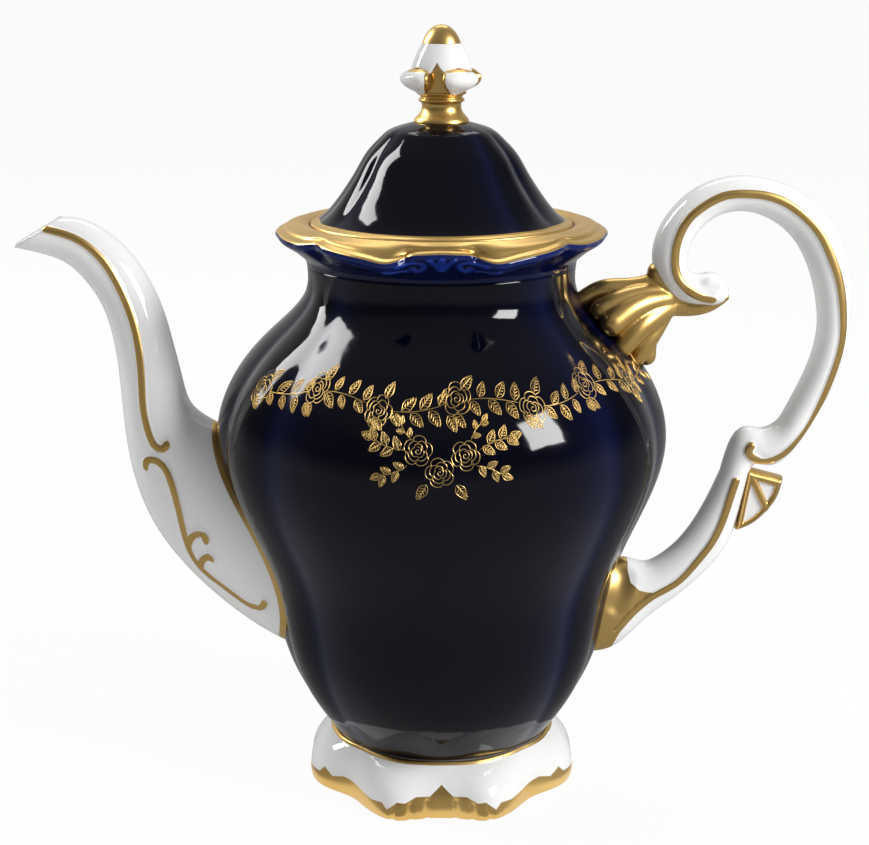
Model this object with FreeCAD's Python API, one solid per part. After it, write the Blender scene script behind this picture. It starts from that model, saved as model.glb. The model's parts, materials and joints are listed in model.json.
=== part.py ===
import FreeCAD, Part
import math
import os

# Lobed porcelain coffee pot with a scalloped mouth collar, a pedestal foot, an S-shaped spout,
# a C-scroll handle and a lift-off lid. Millimetres, +Z up, spout to -X, handle to +X.
# The origin is the middle of the ring that the foot stands on.

# Control points round each oval section of spout and handle
RING_POINTS = 8

# Driving sizes of the body
WALL = 4.2
FLOOR = 5.0
FOOT_H = 16.0
FOOT_BASE_R = 43.4
FOOT_JOINT_R = 35.0
FOOT_WALL = 6.5
FOOT_WAVE = 3.4
BELLY_H = 152.0
BELLY_R = 71.0
WAIST_R = 55.9
NECK_R = 41.8
CREASE_DEPTH = 2.2

# Driving sizes of the mouth and the lid
COLLAR_FLARE = 9.8
COLLAR_H = 15.5
COLLAR_EDGE_H = 9.0
SCALLOP_DEPTH = 1.4
MOUTH_STEP = 5.6
GALLERY_DEPTH = 4.5
COLLAR_RIDGE = 3.8
SEAT_WIDTH = 4.2
LID_EDGE_T = 1.8
LID_CLEARANCE = 0.6
FLANGE_CLEARANCE = 0.8
FLANGE_WALL = 3.2
FLANGE_LEN = 12.0
LID_WALL = 3.6
LID_RISE = 30.2
LID_TURN = -10.0
VENT_R = 1.6

# Driving sizes of the knob
KNOB_BASE_R = 8.5
STEM_WAIST_R = 6.0
STEM_H = 9.0
PETAL_R = 13.0
PETAL_H = 8.5
PETAL_COUNT = 4
PETAL_SPAN = 62.0
PETAL_TURN = 45.0
BUD_R = 8.7
BUD_H = 14.5
TIP_R = 6.7
TIP_H = 5.5

# Driving sizes of the spout, the strainer behind it and the handle
SPOUT_WALL = 3.2
SPOUT_LIP = 2.0
SPOUT_BASE_HALF_WIDTH = 19.0
SPOUT_MOUTH_HALF_WIDTH = 6.4
STRAINER_HOLE_R = 1.9
STRAINER_PITCH = 8.0
STRAINER_DROP = 88.0
STRAINER_ROWS = 2
HANDLE_HALF_WIDTH = 6.2
ARM_HALF_WIDTH = 5.6
ROOT_HALF_WIDTH = 9.0
FAN_HALF_WIDTH = 4.6
FAN_RIB_R = 1.1

# Heights and radii that follow from the sizes above
COLLAR_R = NECK_R + COLLAR_FLARE
MOUTH_R = NECK_R - MOUTH_STEP
LID_EDGE_R = MOUTH_R + SEAT_WIDTH
BELLY_TOP = FOOT_H + BELLY_H
COLLAR_TOP = BELLY_TOP + COLLAR_H
SEAT_Z = COLLAR_TOP - GALLERY_DEPTH
LID_TOP = SEAT_Z + LID_EDGE_T + LID_RISE
STEM_TOP = LID_TOP + STEM_H
BUD_TOP = STEM_TOP + BUD_H

# Plan angles from the front, in degrees: the belly's creases bound wide front and back panels,
# narrow lobes at 60 and 120 and side lobes at 90; the collar has an ornament every 60
ORNAMENT_STEP = 60.0
ORNAMENT_HALF = 12.3
BELLY_CREASES = [sign * (middle + side * ORNAMENT_HALF)
                 for sign in (-1, 1) for middle in (60.0, 120.0) for side in (-1, 1)]
SCALLOP_NOTCHES = [k * ORNAMENT_STEP + side * ORNAMENT_HALF for k in range(6) for side in (-1, 1)]

# Edge of the foot in one quarter: plan angle and share of the wave, with an arc through each three points
FOOT_EDGE = ((0.0, -0.35), (18.0, 0.88), (46.0, -1.1), (70.0, 0.0), (90.0, -0.1))

# Outline of the belly from foot to neck: share of the height, the two radii that the outline lies between
# there, the share of the way from one to the other, and the share of the crease depth
BELLY_OUTLINE = (
    (0.000, FOOT_JOINT_R, WAIST_R, 0.0, 0.2),
    (0.105, FOOT_JOINT_R, WAIST_R, 0.517, 0.7),
    (0.224, FOOT_JOINT_R, WAIST_R, 0.828, 0.9),
    (0.342, FOOT_JOINT_R, WAIST_R, 1.0, 1.0),
    (0.480, WAIST_R, BELLY_R, 0.57, 1.0),
    (0.618, WAIST_R, BELLY_R, 1.0, 1.0),
    (0.737, BELLY_R, NECK_R, 0.12, 1.0),
    (0.849, BELLY_R, NECK_R, 0.548, 0.8),
    (0.934, BELLY_R, NECK_R, 0.966, 0.4),
    (1.000, BELLY_R, NECK_R, 1.0, 0.0),
)

# Outline of the lid's bell: share of the rise, share of the way from knob to edge, crease depth share
LID_OUTLINE = (
    (0.00, 0.955, 0.3),
    (0.06, 0.88, 0.4),
    (0.16, 0.79, 0.5),
    (0.32, 0.68, 0.6),
    (0.52, 0.56, 0.6),
    (0.72, 0.44, 0.5),
    (0.86, 0.31, 0.3),
    (0.95, 0.17, 0.1),
    (1.00, 0.00, 0.0),
)

# Spout sections from the root inside the belly to the beak: upper and lower point, each given by its
# reach beyond the belly's widest radius and its height over the neck, and the share of the way from
# the mouth's half width to the base's
SPOUT_SECTIONS = (
    ((-21.0, -62.0), (-37.0, -132.0), 1.0),
    ((5.0, -49.0), (-11.0, -118.5), 0.95),
    ((10.9, -38.0), (17.5, -90.5), 0.66),
    ((13.6, -25.0), (28.4, -60.5), 0.44),
    ((17.2, -12.2), (30.8, -31.5), 0.26),
    ((21.8, -2.8), (34.2, -15.4), 0.14),
    ((29.2, 6.6), (39.9, -5.7), 0.08),
    ((38.0, 12.4), (47.0, 0.4), 0.04),
    ((45.6, 13.8), (61.3, 4.4), 0.0),
)

# Handle loop from the end of the arm round the elbow, up and over to the volute: point on the finger
# side and on the outer side, by reach beyond the belly and height over the neck
LOOP_SECTIONS = (
    ((17.9, -67.4), (27.2, -67.8)),
    ((19.6, -60.8), (28.8, -65.0)),
    ((22.2, -55.1), (30.2, -65.2)),
    ((25.6, -53.0), (31.8, -65.4)),
    ((29.6, -53.4), (34.2, -65.4)),
    ((33.2, -52.6), (37.4, -64.0)),
    ((37.6, -47.6), (44.6, -54.1)),
    ((42.8, -36.4), (52.4, -39.8)),
    ((46.5, -22.7), (56.3, -23.3)),
    ((45.6, -11.1), (56.6, -8.8)),
    ((42.6, -1.2), (54.0, 3.9)),
    ((38.9, 5.7), (48.9, 13.6)),
    ((33.8, 11.0), (40.3, 21.2)),
    ((26.2, 14.9), (29.5, 25.6)),
    ((19.4, 15.6), (19.0, 26.5)),
    ((13.6, 13.8), (8.5, 23.5)),
    ((8.3, 9.3), (-0.2, 16.1)),
    ((5.6, 3.9), (-5.0, 6.8)),
    ((5.2, -0.1), (-5.1, -2.2)),
    ((6.2, -3.1), (0.2, -10.6)),
    ((9.8, -3.8), (8.2, -13.5)),
)
VOLUTE_EYE = (13.2, -8.4)
VOLUTE_R = 5.2

# Upper part of the lower arm, in the same form
ARM_SECTIONS = (
    ((13.2, -78.1), (24.4, -81.0)),
    ((6.4, -89.2), (20.0, -93.4)),
)

# Lower part of the arm, and the root that it ends in, by reach beyond the waist and height over the neck
ARM_FOOT_SECTIONS = (
    ((13.9, -96.2), (25.9, -104.3)),
    ((9.5, -98.0), (18.7, -110.6)),
)
ROOT_SECTIONS = (
    ((5.7, -97.2), (11.1, -116.6)),
    ((1.7, -96.6), (2.9, -124.6)),
    ((-3.9, -97.6), (-2.9, -127.8)),
    ((-17.9, -99.0), (-15.9, -128.4)),
)

# Acanthus leaf on the shoulder: fingers as points with reach, side step, height and radius; those that
# step aside have a twin on the other side
LEAF_FINGERS = (
    ((-4.0, 0.0, -7.0, 3.4), (-13.0, 0.0, -8.5, 3.3), (-21.0, 0.0, -9.2, 3.3), (-36.0, 0.0, -14.0, 2.6)),
    ((-5.0, 3.0, -11.0, 3.2), (-15.0, 7.0, -11.4, 3.3), (-24.0, 9.5, -15.5, 3.0), (-32.0, 10.5, -20.0, 3.0)),
    ((-5.0, 3.6, -14.0, 3.4), (-14.0, 9.4, -17.0, 3.9), (-22.0, 12.5, -21.5, 3.4), (-30.0, 13.0, -26.5, 3.2)),
    ((-6.0, 3.4, -17.0, 3.0), (-12.5, 8.0, -23.0, 3.3), (-17.0, 10.0, -28.2, 2.9), (-23.0, 10.5, -34.0, 2.9)),
    ((-5.0, 2.0, -18.0, 3.0), (-8.5, 4.6, -24.5, 3.0), (-11.0, 6.0, -30.0, 2.9), (-16.0, 6.5, -36.0, 2.9)),
    ((-3.5, 0.0, -17.5, 3.4), (-6.0, 0.0, -24.5, 2.9), (-6.6, 0.0, -30.0, 3.1), (-11.0, 0.0, -36.5, 3.1)),
    ((17.6, 0.0, -11.4, 1.3), (13.0, 0.0, -13.4, 2.4), (6.0, 0.0, -14.4, 3.0), (-1.0, 0.0, -13.2, 4.2),
     (-8.0, 0.0, -12.5, 5.6), (-16.0, 0.0, -14.5, 6.6), (-27.0, 0.0, -18.0, 6.6)),
    ((5.0, 0.0, -11.5, 3.0), (-1.0, 0.0, -7.5, 4.2), (-6.0, 0.0, -5.2, 3.4)),
)

# Fan behind the elbow: hub and outer corners, with the arc's middle between them
FAN_HUB = (26.6, -66.4)
FAN_CORNERS = ((37.6, -69.6), (33.4, -79.8), (23.9, -86.6))


def at(angle, radius, z):
    """Point at a plan angle from the front (-Y), counted towards +X."""
    a = math.radians(angle)
    return FreeCAD.Vector(radius * math.sin(a), -radius * math.cos(a), z)


def by_handle(point, base=BELLY_R):
    """Point of the handle's plane from its reach beyond a radius and its height over the neck."""
    return FreeCAD.Vector(base + point[0], 0, BELLY_TOP + point[1])


def by_spout(point):
    """The same on the spout's side."""
    return FreeCAD.Vector(-BELLY_R - point[0], 0, BELLY_TOP + point[1])


def lobed_wire(radius, z, depth, valleys, turn=0.0):
    """Closed plan outline whose lobes reach the radius and meet in valleys that are this deep."""
    angles = sorted(angle % 360.0 for angle in valleys)
    edges = []
    for here, after in zip(angles, angles[1:] + [angles[0] + 360.0]):
        start = at(here + turn, radius - depth, z)
        crest = at((here + after) / 2 + turn, radius, z)
        end = at(after + turn, radius - depth, z)
        edges.append(Part.Arc(start, crest, end).toShape())
    return Part.Wire(edges)


def lobed_loft(stations, valleys, turn=0.0):
    """Solid through plan outlines given as height, radius and valley depth."""
    wires = [lobed_wire(radius, z, depth, valleys, turn) for z, radius, depth in stations]
    return Part.makeLoft(wires, True)


def turned(points):
    """Solid of revolution about Z from an outline of radius and height points."""
    wire = Part.makePolygon([FreeCAD.Vector(r, 0, z) for r, z in points + points[:1]])
    return Part.Face(wire).revolve(FreeCAD.Vector(), FreeCAD.Vector(0, 0, 1), 360)


def turned_curve(points):
    """Solid of revolution about Z whose side is one smooth curve, closed flat at both ends."""
    side = Part.BSplineCurve()
    side.interpolate([FreeCAD.Vector(r, 0, z) for r, z in points])
    low = FreeCAD.Vector(0, 0, points[0][1])
    high = FreeCAD.Vector(0, 0, points[-1][1])
    edges = [Part.makeLine(low, side.StartPoint), side.toShape()]
    if side.EndPoint.x > 0.01:
        edges.append(Part.makeLine(side.EndPoint, high))
    edges.append(Part.makeLine(high, low))
    return Part.Face(Part.Wire(edges)).revolve(FreeCAD.Vector(), FreeCAD.Vector(0, 0, 1), 360)


def oval(upper, lower, half_width):
    """Ring of control points whose smooth closed curve is an oval between two points of the XZ plane."""
    middle = (upper + lower) * 0.5
    step = 2 * math.pi / RING_POINTS
    stretch = 3 / (2 + math.cos(step))
    reach = (upper - lower) * (0.5 * stretch)
    across = FreeCAD.Vector(0, half_width * stretch, 0)
    return [middle + reach * math.cos(k * step) + across * math.sin(k * step) for k in range(RING_POINTS)]


def skin(rings):
    """Solid with flat ends whose side is one smooth surface through the rings."""
    middles = [sum(ring, FreeCAD.Vector()) * (1 / RING_POINTS) for ring in rings]
    places = [0.0]
    for before, after in zip(middles, middles[1:]):
        places.append(places[-1] + (after - before).Length)
    columns = []
    for k in range(RING_POINTS):
        column = Part.BSplineCurve()
        column.interpolate(Points=[ring[k] for ring in rings], Parameters=places)
        columns.append(column)
    poles = [list(row) for row in zip(*[column.getPoles() for column in columns])]
    side = Part.BSplineSurface()
    along = columns[0]
    side.buildFromPolesMultsKnots(poles, along.getMultiplicities(), [1] * (RING_POINTS + 1), along.getKnots(),
                                  list(range(RING_POINTS + 1)), False, True, along.Degree, 3)
    face = side.toShape()
    ends = [Part.Face(Part.Wire([edge])) for edge in face.Edges if edge.Closed and edge.Length > 0]
    shell = Part.makeShell([face] + ends[:2])
    shell.sewShape()
    solid = Part.makeSolid(Part.makeShell(shell.Faces))
    if solid.Volume < 0:
        solid.reverse()
    return solid


def finger(points):
    """Round tapered finger of a leaf through points by the handle with a side step and a radius."""
    rings = []
    last = len(points) - 1
    for k, (reach, step, height, radius) in enumerate(points):
        before = points[max(k - 1, 0)]
        after = points[min(k + 1, last)]
        run = FreeCAD.Vector(after[0] - before[0], 0, after[2] - before[2]).normalize()
        middle = by_handle((reach, height)) + FreeCAD.Vector(0, step, 0)
        outward = FreeCAD.Vector(-run.z, 0, run.x) * radius
        rings.append(oval(middle + outward, middle - outward, radius))
    return skin(rings)


def belly_stations(inset):
    """Heights, radii and crease depths of the belly, drawn in by the inset."""
    return [(FOOT_H + share * BELLY_H, low + blend * (high - low) - inset, depth * CREASE_DEPTH)
            for share, low, high, blend, depth in BELLY_OUTLINE]


def make_belly_outside():
    """The belly's outer form as one solid, which the spout and the handle are fitted against."""
    return lobed_loft(belly_stations(0.0), BELLY_CREASES)


def make_belly(outside):
    """Hollow belly with a floor, an open neck and the strainer pierced through the wall by the spout."""
    stations = belly_stations(WALL)
    low, high = stations[0], stations[1]
    floor_z = FOOT_H + FLOOR
    share = (floor_z - low[0]) / (high[0] - low[0])
    floor_r = low[1] + share * (high[1] - low[1])
    above = (BELLY_TOP + WALL, NECK_R - WALL, 0.0)
    inside = lobed_loft([(floor_z, floor_r, low[2])] + stations[1:] + [above], BELLY_CREASES)
    belly = outside.cut(inside)
    for row in range(-STRAINER_ROWS, STRAINER_ROWS + 1):
        count = 3 if row % 2 == 0 else 2
        for k in range(count):
            y = (k - (count - 1) / 2) * STRAINER_PITCH
            z = BELLY_TOP - STRAINER_DROP + row * STRAINER_PITCH
            axis = FreeCAD.Vector(-1, 0, 0)
            belly = belly.cut(Part.makeCylinder(STRAINER_HOLE_R, 2 * BELLY_R, FreeCAD.Vector(0, y, z), axis))
    return belly


def make_mouth_collar():
    """Scalloped mouth ring that flares from the neck, with the gallery for the lid."""
    edge_z = BELLY_TOP + COLLAR_EDGE_H
    under = [(BELLY_TOP, NECK_R, 0.0),
             (BELLY_TOP + 0.42 * COLLAR_EDGE_H, NECK_R + 0.2 * (COLLAR_R - NECK_R), 0.2 * SCALLOP_DEPTH),
             (edge_z, COLLAR_R, SCALLOP_DEPTH)]
    gallery_r = LID_EDGE_R + LID_CLEARANCE
    ridge_r = gallery_r + COLLAR_RIDGE
    over = [(edge_z, COLLAR_R, SCALLOP_DEPTH),
            (0.45 * edge_z + 0.55 * COLLAR_TOP, 0.72 * COLLAR_R + 0.28 * ridge_r, 0.8 * SCALLOP_DEPTH),
            (COLLAR_TOP, ridge_r, 0.2 * SCALLOP_DEPTH)]
    ring = lobed_loft(under, SCALLOP_NOTCHES).fuse(lobed_loft(over, SCALLOP_NOTCHES))
    opening = turned([(0.0, BELLY_TOP - WALL), (MOUTH_R, BELLY_TOP - WALL), (MOUTH_R, SEAT_Z),
                      (gallery_r, SEAT_Z), (gallery_r, COLLAR_TOP + WALL), (0.0, COLLAR_TOP + WALL)])
    return ring.cut(opening)


def waved_wire(share, z):
    """Plan outline of the foot: the joint's circle at share 0, the full wave of the edge at share 1."""
    spread = FOOT_BASE_R - FOOT_JOINT_R
    quarter = [(angle, FOOT_JOINT_R + share * (spread + wave * FOOT_WAVE)) for angle, wave in FOOT_EDGE]
    half = quarter + [(180.0 - angle, radius) for angle, radius in quarter[-2::-1]]
    whole = half + [(360.0 - angle, radius) for angle, radius in half[-2::-1]]
    points = [at(angle, radius, z) for angle, radius in whole]
    return Part.Wire([Part.Arc(*points[k:k + 3]).toShape() for k in range(0, len(points) - 2, 2)])


def make_pedestal_foot():
    """Flared foot with a wavy edge, hollow underneath, standing on a flat ring."""
    spread = FOOT_BASE_R - FOOT_JOINT_R
    flare = ((0.95, 0.0), (1.0, 0.25), (0.62, 0.52), (0.2, 0.78), (0.0, 1.0))
    outside = Part.makeLoft([waved_wire(share, height * FOOT_H) for share, height in flare], True)
    hollow = turned([(0.0, -WALL), (FOOT_BASE_R - FOOT_WALL, -WALL), (FOOT_BASE_R - FOOT_WALL, 0.0),
                     (FOOT_JOINT_R - FOOT_WALL + 0.35 * spread, 0.5 * FOOT_H),
                     (FOOT_JOINT_R - FOOT_WALL, FOOT_H), (FOOT_JOINT_R - FOOT_WALL, FOOT_H + WALL),
                     (0.0, FOOT_H + WALL)])
    return outside.cut(hollow)


def make_spout(belly_outside):
    """Hollow S-shaped spout, fitted to the belly, with a slanted beak."""
    outer = []
    bore = []
    for upper, lower, share in SPOUT_SECTIONS:
        top = by_spout(upper)
        bottom = by_spout(lower)
        wall = SPOUT_LIP + share * (SPOUT_WALL - SPOUT_LIP)
        inward = (bottom - top).normalize() * wall
        half_width = SPOUT_MOUTH_HALF_WIDTH + share * (SPOUT_BASE_HALF_WIDTH - SPOUT_MOUTH_HALF_WIDTH)
        outer.append(oval(top, bottom, half_width))
        bore.append(oval(top + inward, bottom - inward, half_width - wall))
    return skin(outer).cut(skin(bore)).cut(belly_outside)


def handle_ovals(sections, half_width, base=BELLY_R):
    """Oval sections of the handle."""
    return [oval(by_handle(inner, base), by_handle(outer, base), half_width) for inner, outer in sections]


def make_handle_loop():
    """C-scroll of the handle, from the elbow over the top to the rolled eye of its volute."""
    loop = skin(handle_ovals(LOOP_SECTIONS, HANDLE_HALF_WIDTH))
    start = by_handle(VOLUTE_EYE) - FreeCAD.Vector(0, HANDLE_HALF_WIDTH, 0)
    eye = Part.makeCylinder(VOLUTE_R, 2 * HANDLE_HALF_WIDTH, start, FreeCAD.Vector(0, 1, 0))
    return loop.fuse(eye.makeFillet(0.3 * VOLUTE_R, [edge for edge in eye.Edges if edge.Closed]))


def make_arm_and_root(belly_outside):
    """Lower arm, which meets the loop in one flat section, and the gilded root that it ends in."""
    elbow = handle_ovals(LOOP_SECTIONS[:1], HANDLE_HALF_WIDTH)
    arm = handle_ovals(ARM_SECTIONS, ARM_HALF_WIDTH)
    arm += handle_ovals(ARM_FOOT_SECTIONS, ARM_HALF_WIDTH, WAIST_R)
    root = handle_ovals(ROOT_SECTIONS, ROOT_HALF_WIDTH, WAIST_R)
    return skin(elbow + arm), skin(arm[-1:] + root).cut(belly_outside)


def make_upper_leaf(belly_outside, loop):
    """Acanthus leaf that carries the scroll on the shoulder, its fingers grown together."""
    fingers = []
    for points in LEAF_FINGERS:
        fingers.append(finger(points))
        if points[0][1] > 0:
            fingers.append(finger([(reach, -step, height, radius) for reach, step, height, radius in points]))
    leaf = fingers[-2]
    for part in fingers[:-2] + fingers[-1:]:
        leaf = leaf.fuse(part)
    return leaf.cut(loop).cut(belly_outside)


def make_fan(loop, arm):
    """Small fan behind the elbow with a rib on each edge and in the middle of both faces."""
    near = FreeCAD.Vector(0, -FAN_HALF_WIDTH, 0)
    hub = by_handle(FAN_HUB) + near
    corners = [by_handle(corner) + near for corner in FAN_CORNERS]
    rim = Part.Arc(corners[0], corners[1], corners[2]).toShape()
    edges = [Part.makeLine(hub, corners[0]), rim, Part.makeLine(corners[2], hub)]
    through = FreeCAD.Vector(0, 2 * FAN_HALF_WIDTH, 0)
    fan = Part.Face(Part.Wire(edges)).extrude(through)
    for corner in corners:
        reach = corner - hub
        for side in (FreeCAD.Vector(), through):
            fan = fan.fuse(Part.makeCylinder(FAN_RIB_R, reach.Length, hub + side, reach))
    return fan.cut(loop).cut(arm)


def make_lid_dome():
    """Lobed bell of the lid with its round rim, hollow inside, with a steam vent at the back."""
    rim_top = SEAT_Z + LID_EDGE_T
    outside = [(rim_top + share * LID_RISE, KNOB_BASE_R + spread * (LID_EDGE_R - KNOB_BASE_R),
                depth * CREASE_DEPTH) for share, spread, depth in LID_OUTLINE]
    rim = Part.makeCylinder(LID_EDGE_R, LID_EDGE_T, FreeCAD.Vector(0, 0, SEAT_Z))
    bell = lobed_loft(outside, BELLY_CREASES, LID_TURN).fuse(rim)
    flange_in = MOUTH_R - FLANGE_CLEARANCE - FLANGE_WALL
    inside = [(flange_in, SEAT_Z - LID_WALL)]
    for z, radius, depth in outside:
        if z - LID_WALL > SEAT_Z and radius - LID_WALL < flange_in:
            inside.append((max(radius - LID_WALL, LID_WALL), z - LID_WALL))
    bell = bell.cut(turned_curve(inside))
    vent_place = FreeCAD.Vector(0, 0.5 * LID_EDGE_R, SEAT_Z)
    return bell.cut(Part.makeCylinder(VENT_R, LID_EDGE_T + LID_RISE, vent_place))


def make_lid_flange():
    """Ring under the lid that stands in the mouth."""
    outer_r = MOUTH_R - FLANGE_CLEARANCE
    foot = FreeCAD.Vector(0, 0, SEAT_Z - FLANGE_LEN)
    ring = Part.makeCylinder(outer_r, FLANGE_LEN, foot)
    return ring.cut(Part.makeCylinder(outer_r - FLANGE_WALL, FLANGE_LEN, foot))


def make_knob_stem():
    """Waisted stem of the knob."""
    return turned_curve([(KNOB_BASE_R, LID_TOP),
                         (0.6 * STEM_WAIST_R + 0.4 * KNOB_BASE_R, LID_TOP + 0.22 * STEM_H),
                         (STEM_WAIST_R, LID_TOP + 0.55 * STEM_H),
                         (0.5 * STEM_WAIST_R + 0.5 * BUD_R, LID_TOP + 0.84 * STEM_H),
                         (BUD_R, STEM_TOP)])


def make_knob_bud():
    """Bud of the knob, on the stem."""
    return turned_curve([(0.88 * BUD_R, STEM_TOP), (0.97 * BUD_R, STEM_TOP + 0.28 * BUD_H),
                         (BUD_R, STEM_TOP + 0.55 * BUD_H),
                         (0.5 * (BUD_R + TIP_R), STEM_TOP + 0.8 * BUD_H), (TIP_R, BUD_TOP)])


def make_knob_tip():
    """Rounded tip of the bud."""
    return turned_curve([(TIP_R, BUD_TOP), (0.87 * TIP_R, BUD_TOP + 0.5 * TIP_H),
                         (0.55 * TIP_R, BUD_TOP + 0.88 * TIP_H), (0.0, BUD_TOP + TIP_H)])


def make_knob_petals(bud):
    """Leaves round the bud, which curl out from the stem and back over the bud."""
    curl = Part.BSplineCurve()
    outline = [(0.97 * BUD_R, 0.0), (0.5 * (BUD_R + PETAL_R), 0.06 * PETAL_H), (PETAL_R, 0.42 * PETAL_H),
               (0.8 * PETAL_R + 0.2 * BUD_R, 0.68 * PETAL_H), (1.06 * BUD_R, PETAL_H)]
    curl.interpolate([FreeCAD.Vector(r, 0, STEM_TOP + z) for r, z in outline])
    inner_low = FreeCAD.Vector(0.7 * BUD_R, 0, STEM_TOP)
    inner_high = FreeCAD.Vector(0.7 * BUD_R, 0, STEM_TOP + PETAL_H)
    edges = [curl.toShape(), Part.makeLine(curl.EndPoint, inner_high),
             Part.makeLine(inner_high, inner_low), Part.makeLine(inner_low, curl.StartPoint)]
    petal = Part.Face(Part.Wire(edges)).revolve(FreeCAD.Vector(), FreeCAD.Vector(0, 0, 1), PETAL_SPAN)
    petal = petal.cut(bud)
    petals = []
    for k in range(PETAL_COUNT):
        turn = PETAL_TURN + LID_TURN + k * 360.0 / PETAL_COUNT - PETAL_SPAN / 2
        copy = petal.copy()
        copy.rotate(FreeCAD.Vector(), FreeCAD.Vector(0, 0, 1), turn)
        petals.append(copy)
    return Part.makeCompound(petals)


def main():
    belly_outside = make_belly_outside()
    loop = make_handle_loop()
    arm, root = make_arm_and_root(belly_outside)
    bud = make_knob_bud()
    nodes = {
        "belly": make_belly(belly_outside),
        "mouth_collar": make_mouth_collar(),
        "pedestal_foot": make_pedestal_foot(),
        "spout": make_spout(belly_outside),
        "handle_loop": loop,
        "handle_lower_arm": arm,
        "handle_lower_root": root,
        "handle_upper_leaf": make_upper_leaf(belly_outside, loop),
        "handle_fan": make_fan(loop, arm),
        "lid_dome": make_lid_dome(),
        "lid_flange": make_lid_flange(),
        "knob_stem": make_knob_stem(),
        "knob_bud": bud,
        "knob_petals": make_knob_petals(bud),
        "knob_tip": make_knob_tip(),
    }
    os.makedirs("parts", exist_ok=True)
    for name, shape in nodes.items():
        print(name, len(shape.Solids), "solid", round(shape.Volume), "mm3", "valid", shape.isValid())
        shape.exportStep("parts/" + name + ".step")


main()
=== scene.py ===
import json
import math

import bmesh
import bpy
import numpy as np
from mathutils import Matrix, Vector
from mathutils.bvhtree import BVHTree
from numpy.linalg import norm

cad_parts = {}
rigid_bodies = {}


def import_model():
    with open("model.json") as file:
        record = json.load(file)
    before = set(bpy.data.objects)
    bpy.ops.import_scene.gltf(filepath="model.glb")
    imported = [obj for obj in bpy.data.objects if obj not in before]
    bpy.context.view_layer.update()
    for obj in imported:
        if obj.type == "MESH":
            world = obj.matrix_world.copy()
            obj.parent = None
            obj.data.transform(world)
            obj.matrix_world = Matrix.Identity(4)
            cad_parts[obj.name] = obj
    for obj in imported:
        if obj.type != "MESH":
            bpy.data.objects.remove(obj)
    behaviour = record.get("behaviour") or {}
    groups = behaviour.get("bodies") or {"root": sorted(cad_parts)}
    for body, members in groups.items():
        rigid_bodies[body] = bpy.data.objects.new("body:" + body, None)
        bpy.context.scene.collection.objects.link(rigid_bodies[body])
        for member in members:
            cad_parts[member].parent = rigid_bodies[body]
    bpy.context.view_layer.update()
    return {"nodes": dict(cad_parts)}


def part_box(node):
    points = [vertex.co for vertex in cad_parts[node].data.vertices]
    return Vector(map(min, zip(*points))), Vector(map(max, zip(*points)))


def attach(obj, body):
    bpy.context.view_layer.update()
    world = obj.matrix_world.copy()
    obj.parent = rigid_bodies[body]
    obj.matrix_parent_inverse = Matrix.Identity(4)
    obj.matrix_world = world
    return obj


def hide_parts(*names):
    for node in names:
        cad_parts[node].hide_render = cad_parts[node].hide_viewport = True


# Looks of a lobed cobalt coffee pot with white spout, handle and foot and satin gold.
# Shapes are worked out in millimetres and written to the meshes in metres.
# Plan angles are in degrees from the front, counted towards +X.
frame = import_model()
COLLECTION = bpy.context.scene.collection.objects
MM = 0.001


def low(node):
    return np.array(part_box(node)[0]) / MM


def high(node):
    return np.array(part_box(node)[1]) / MM


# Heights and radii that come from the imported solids
FOOT_H = high("pedestal_foot")[2]
NECK_Z = high("belly")[2]
BELLY_H = NECK_Z - FOOT_H
LID_BASE = low("lid_dome")[2]
LID_TOP = high("lid_dome")[2]
LID_EDGE_R = high("lid_dome")[0]
FLANGE_R = high("lid_flange")[0]
STEM_R = high("knob_stem")[0]
STEM_TOP = high("knob_stem")[2]
BUD_TOP = high("knob_bud")[2]
TIP_TOP = high("knob_tip")[2]

# Gold marks, in millimetres inside the edge of the gilding, for what has none; and soft edges of the marks
NO_GOLD = -5.0
NO_GOLD_UNDER_FOOT = -2.0
NO_GOLD_UNDER_LID = -4.0
GOLD_SOFT = 0.14
WHITE_SOFT = 0.2

# Belly: walls, the creases that part its lobes, and its outline from foot to neck as share of the height,
# radius and share of the crease depth
WALL = 4.2
FLOOR = 5.0
NECK_R = 41.8
CREASE_DEPTH = 2.2
CREASE_SOFT = 1.6
CREASE_SIDE = 12.3
CREASES = [sign * (middle + side * CREASE_SIDE)
           for sign in (-1, 1) for middle in (60.0, 120.0) for side in (-1, 1)]
LOBE_STEP = 0.1
# Strength of the painted sheen: lighter blue painted into the belly's creases
BELLY_THIN_AND_SHEEN = 0.09
BELLY_COLUMNS = 540
BELLY_ROWS = 170
BELLY_INNER_ROWS = 70
BELLY_FLOOR_RINGS = (0.85, 0.6, 0.3, 0)
BELLY_OUTLINE = (
    (0, 35, 0.2), (0.105, 45.8, 0.7), (0.224, 52.3, 0.9), (0.342, 55.9, 1), (0.48, 64.5, 1),
    (0.618, 71, 1), (0.737, 67.5, 1), (0.849, 55, 0.8), (0.934, 42.8, 0.4), (1, NECK_R, 0),
)

# Strainer in the belly's wall and steam vent in the lid
STRAINER_HOLE_R = 1.9
STRAINER_PITCH = 8.0
STRAINER_DROP = 88.0
STRAINER_ROWS = 2
STRAINER_REACH = (-90.0, -30.0)
VENT_R = 1.6
VENT_SHARE = 0.5
BORE_SIDES = 28

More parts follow.
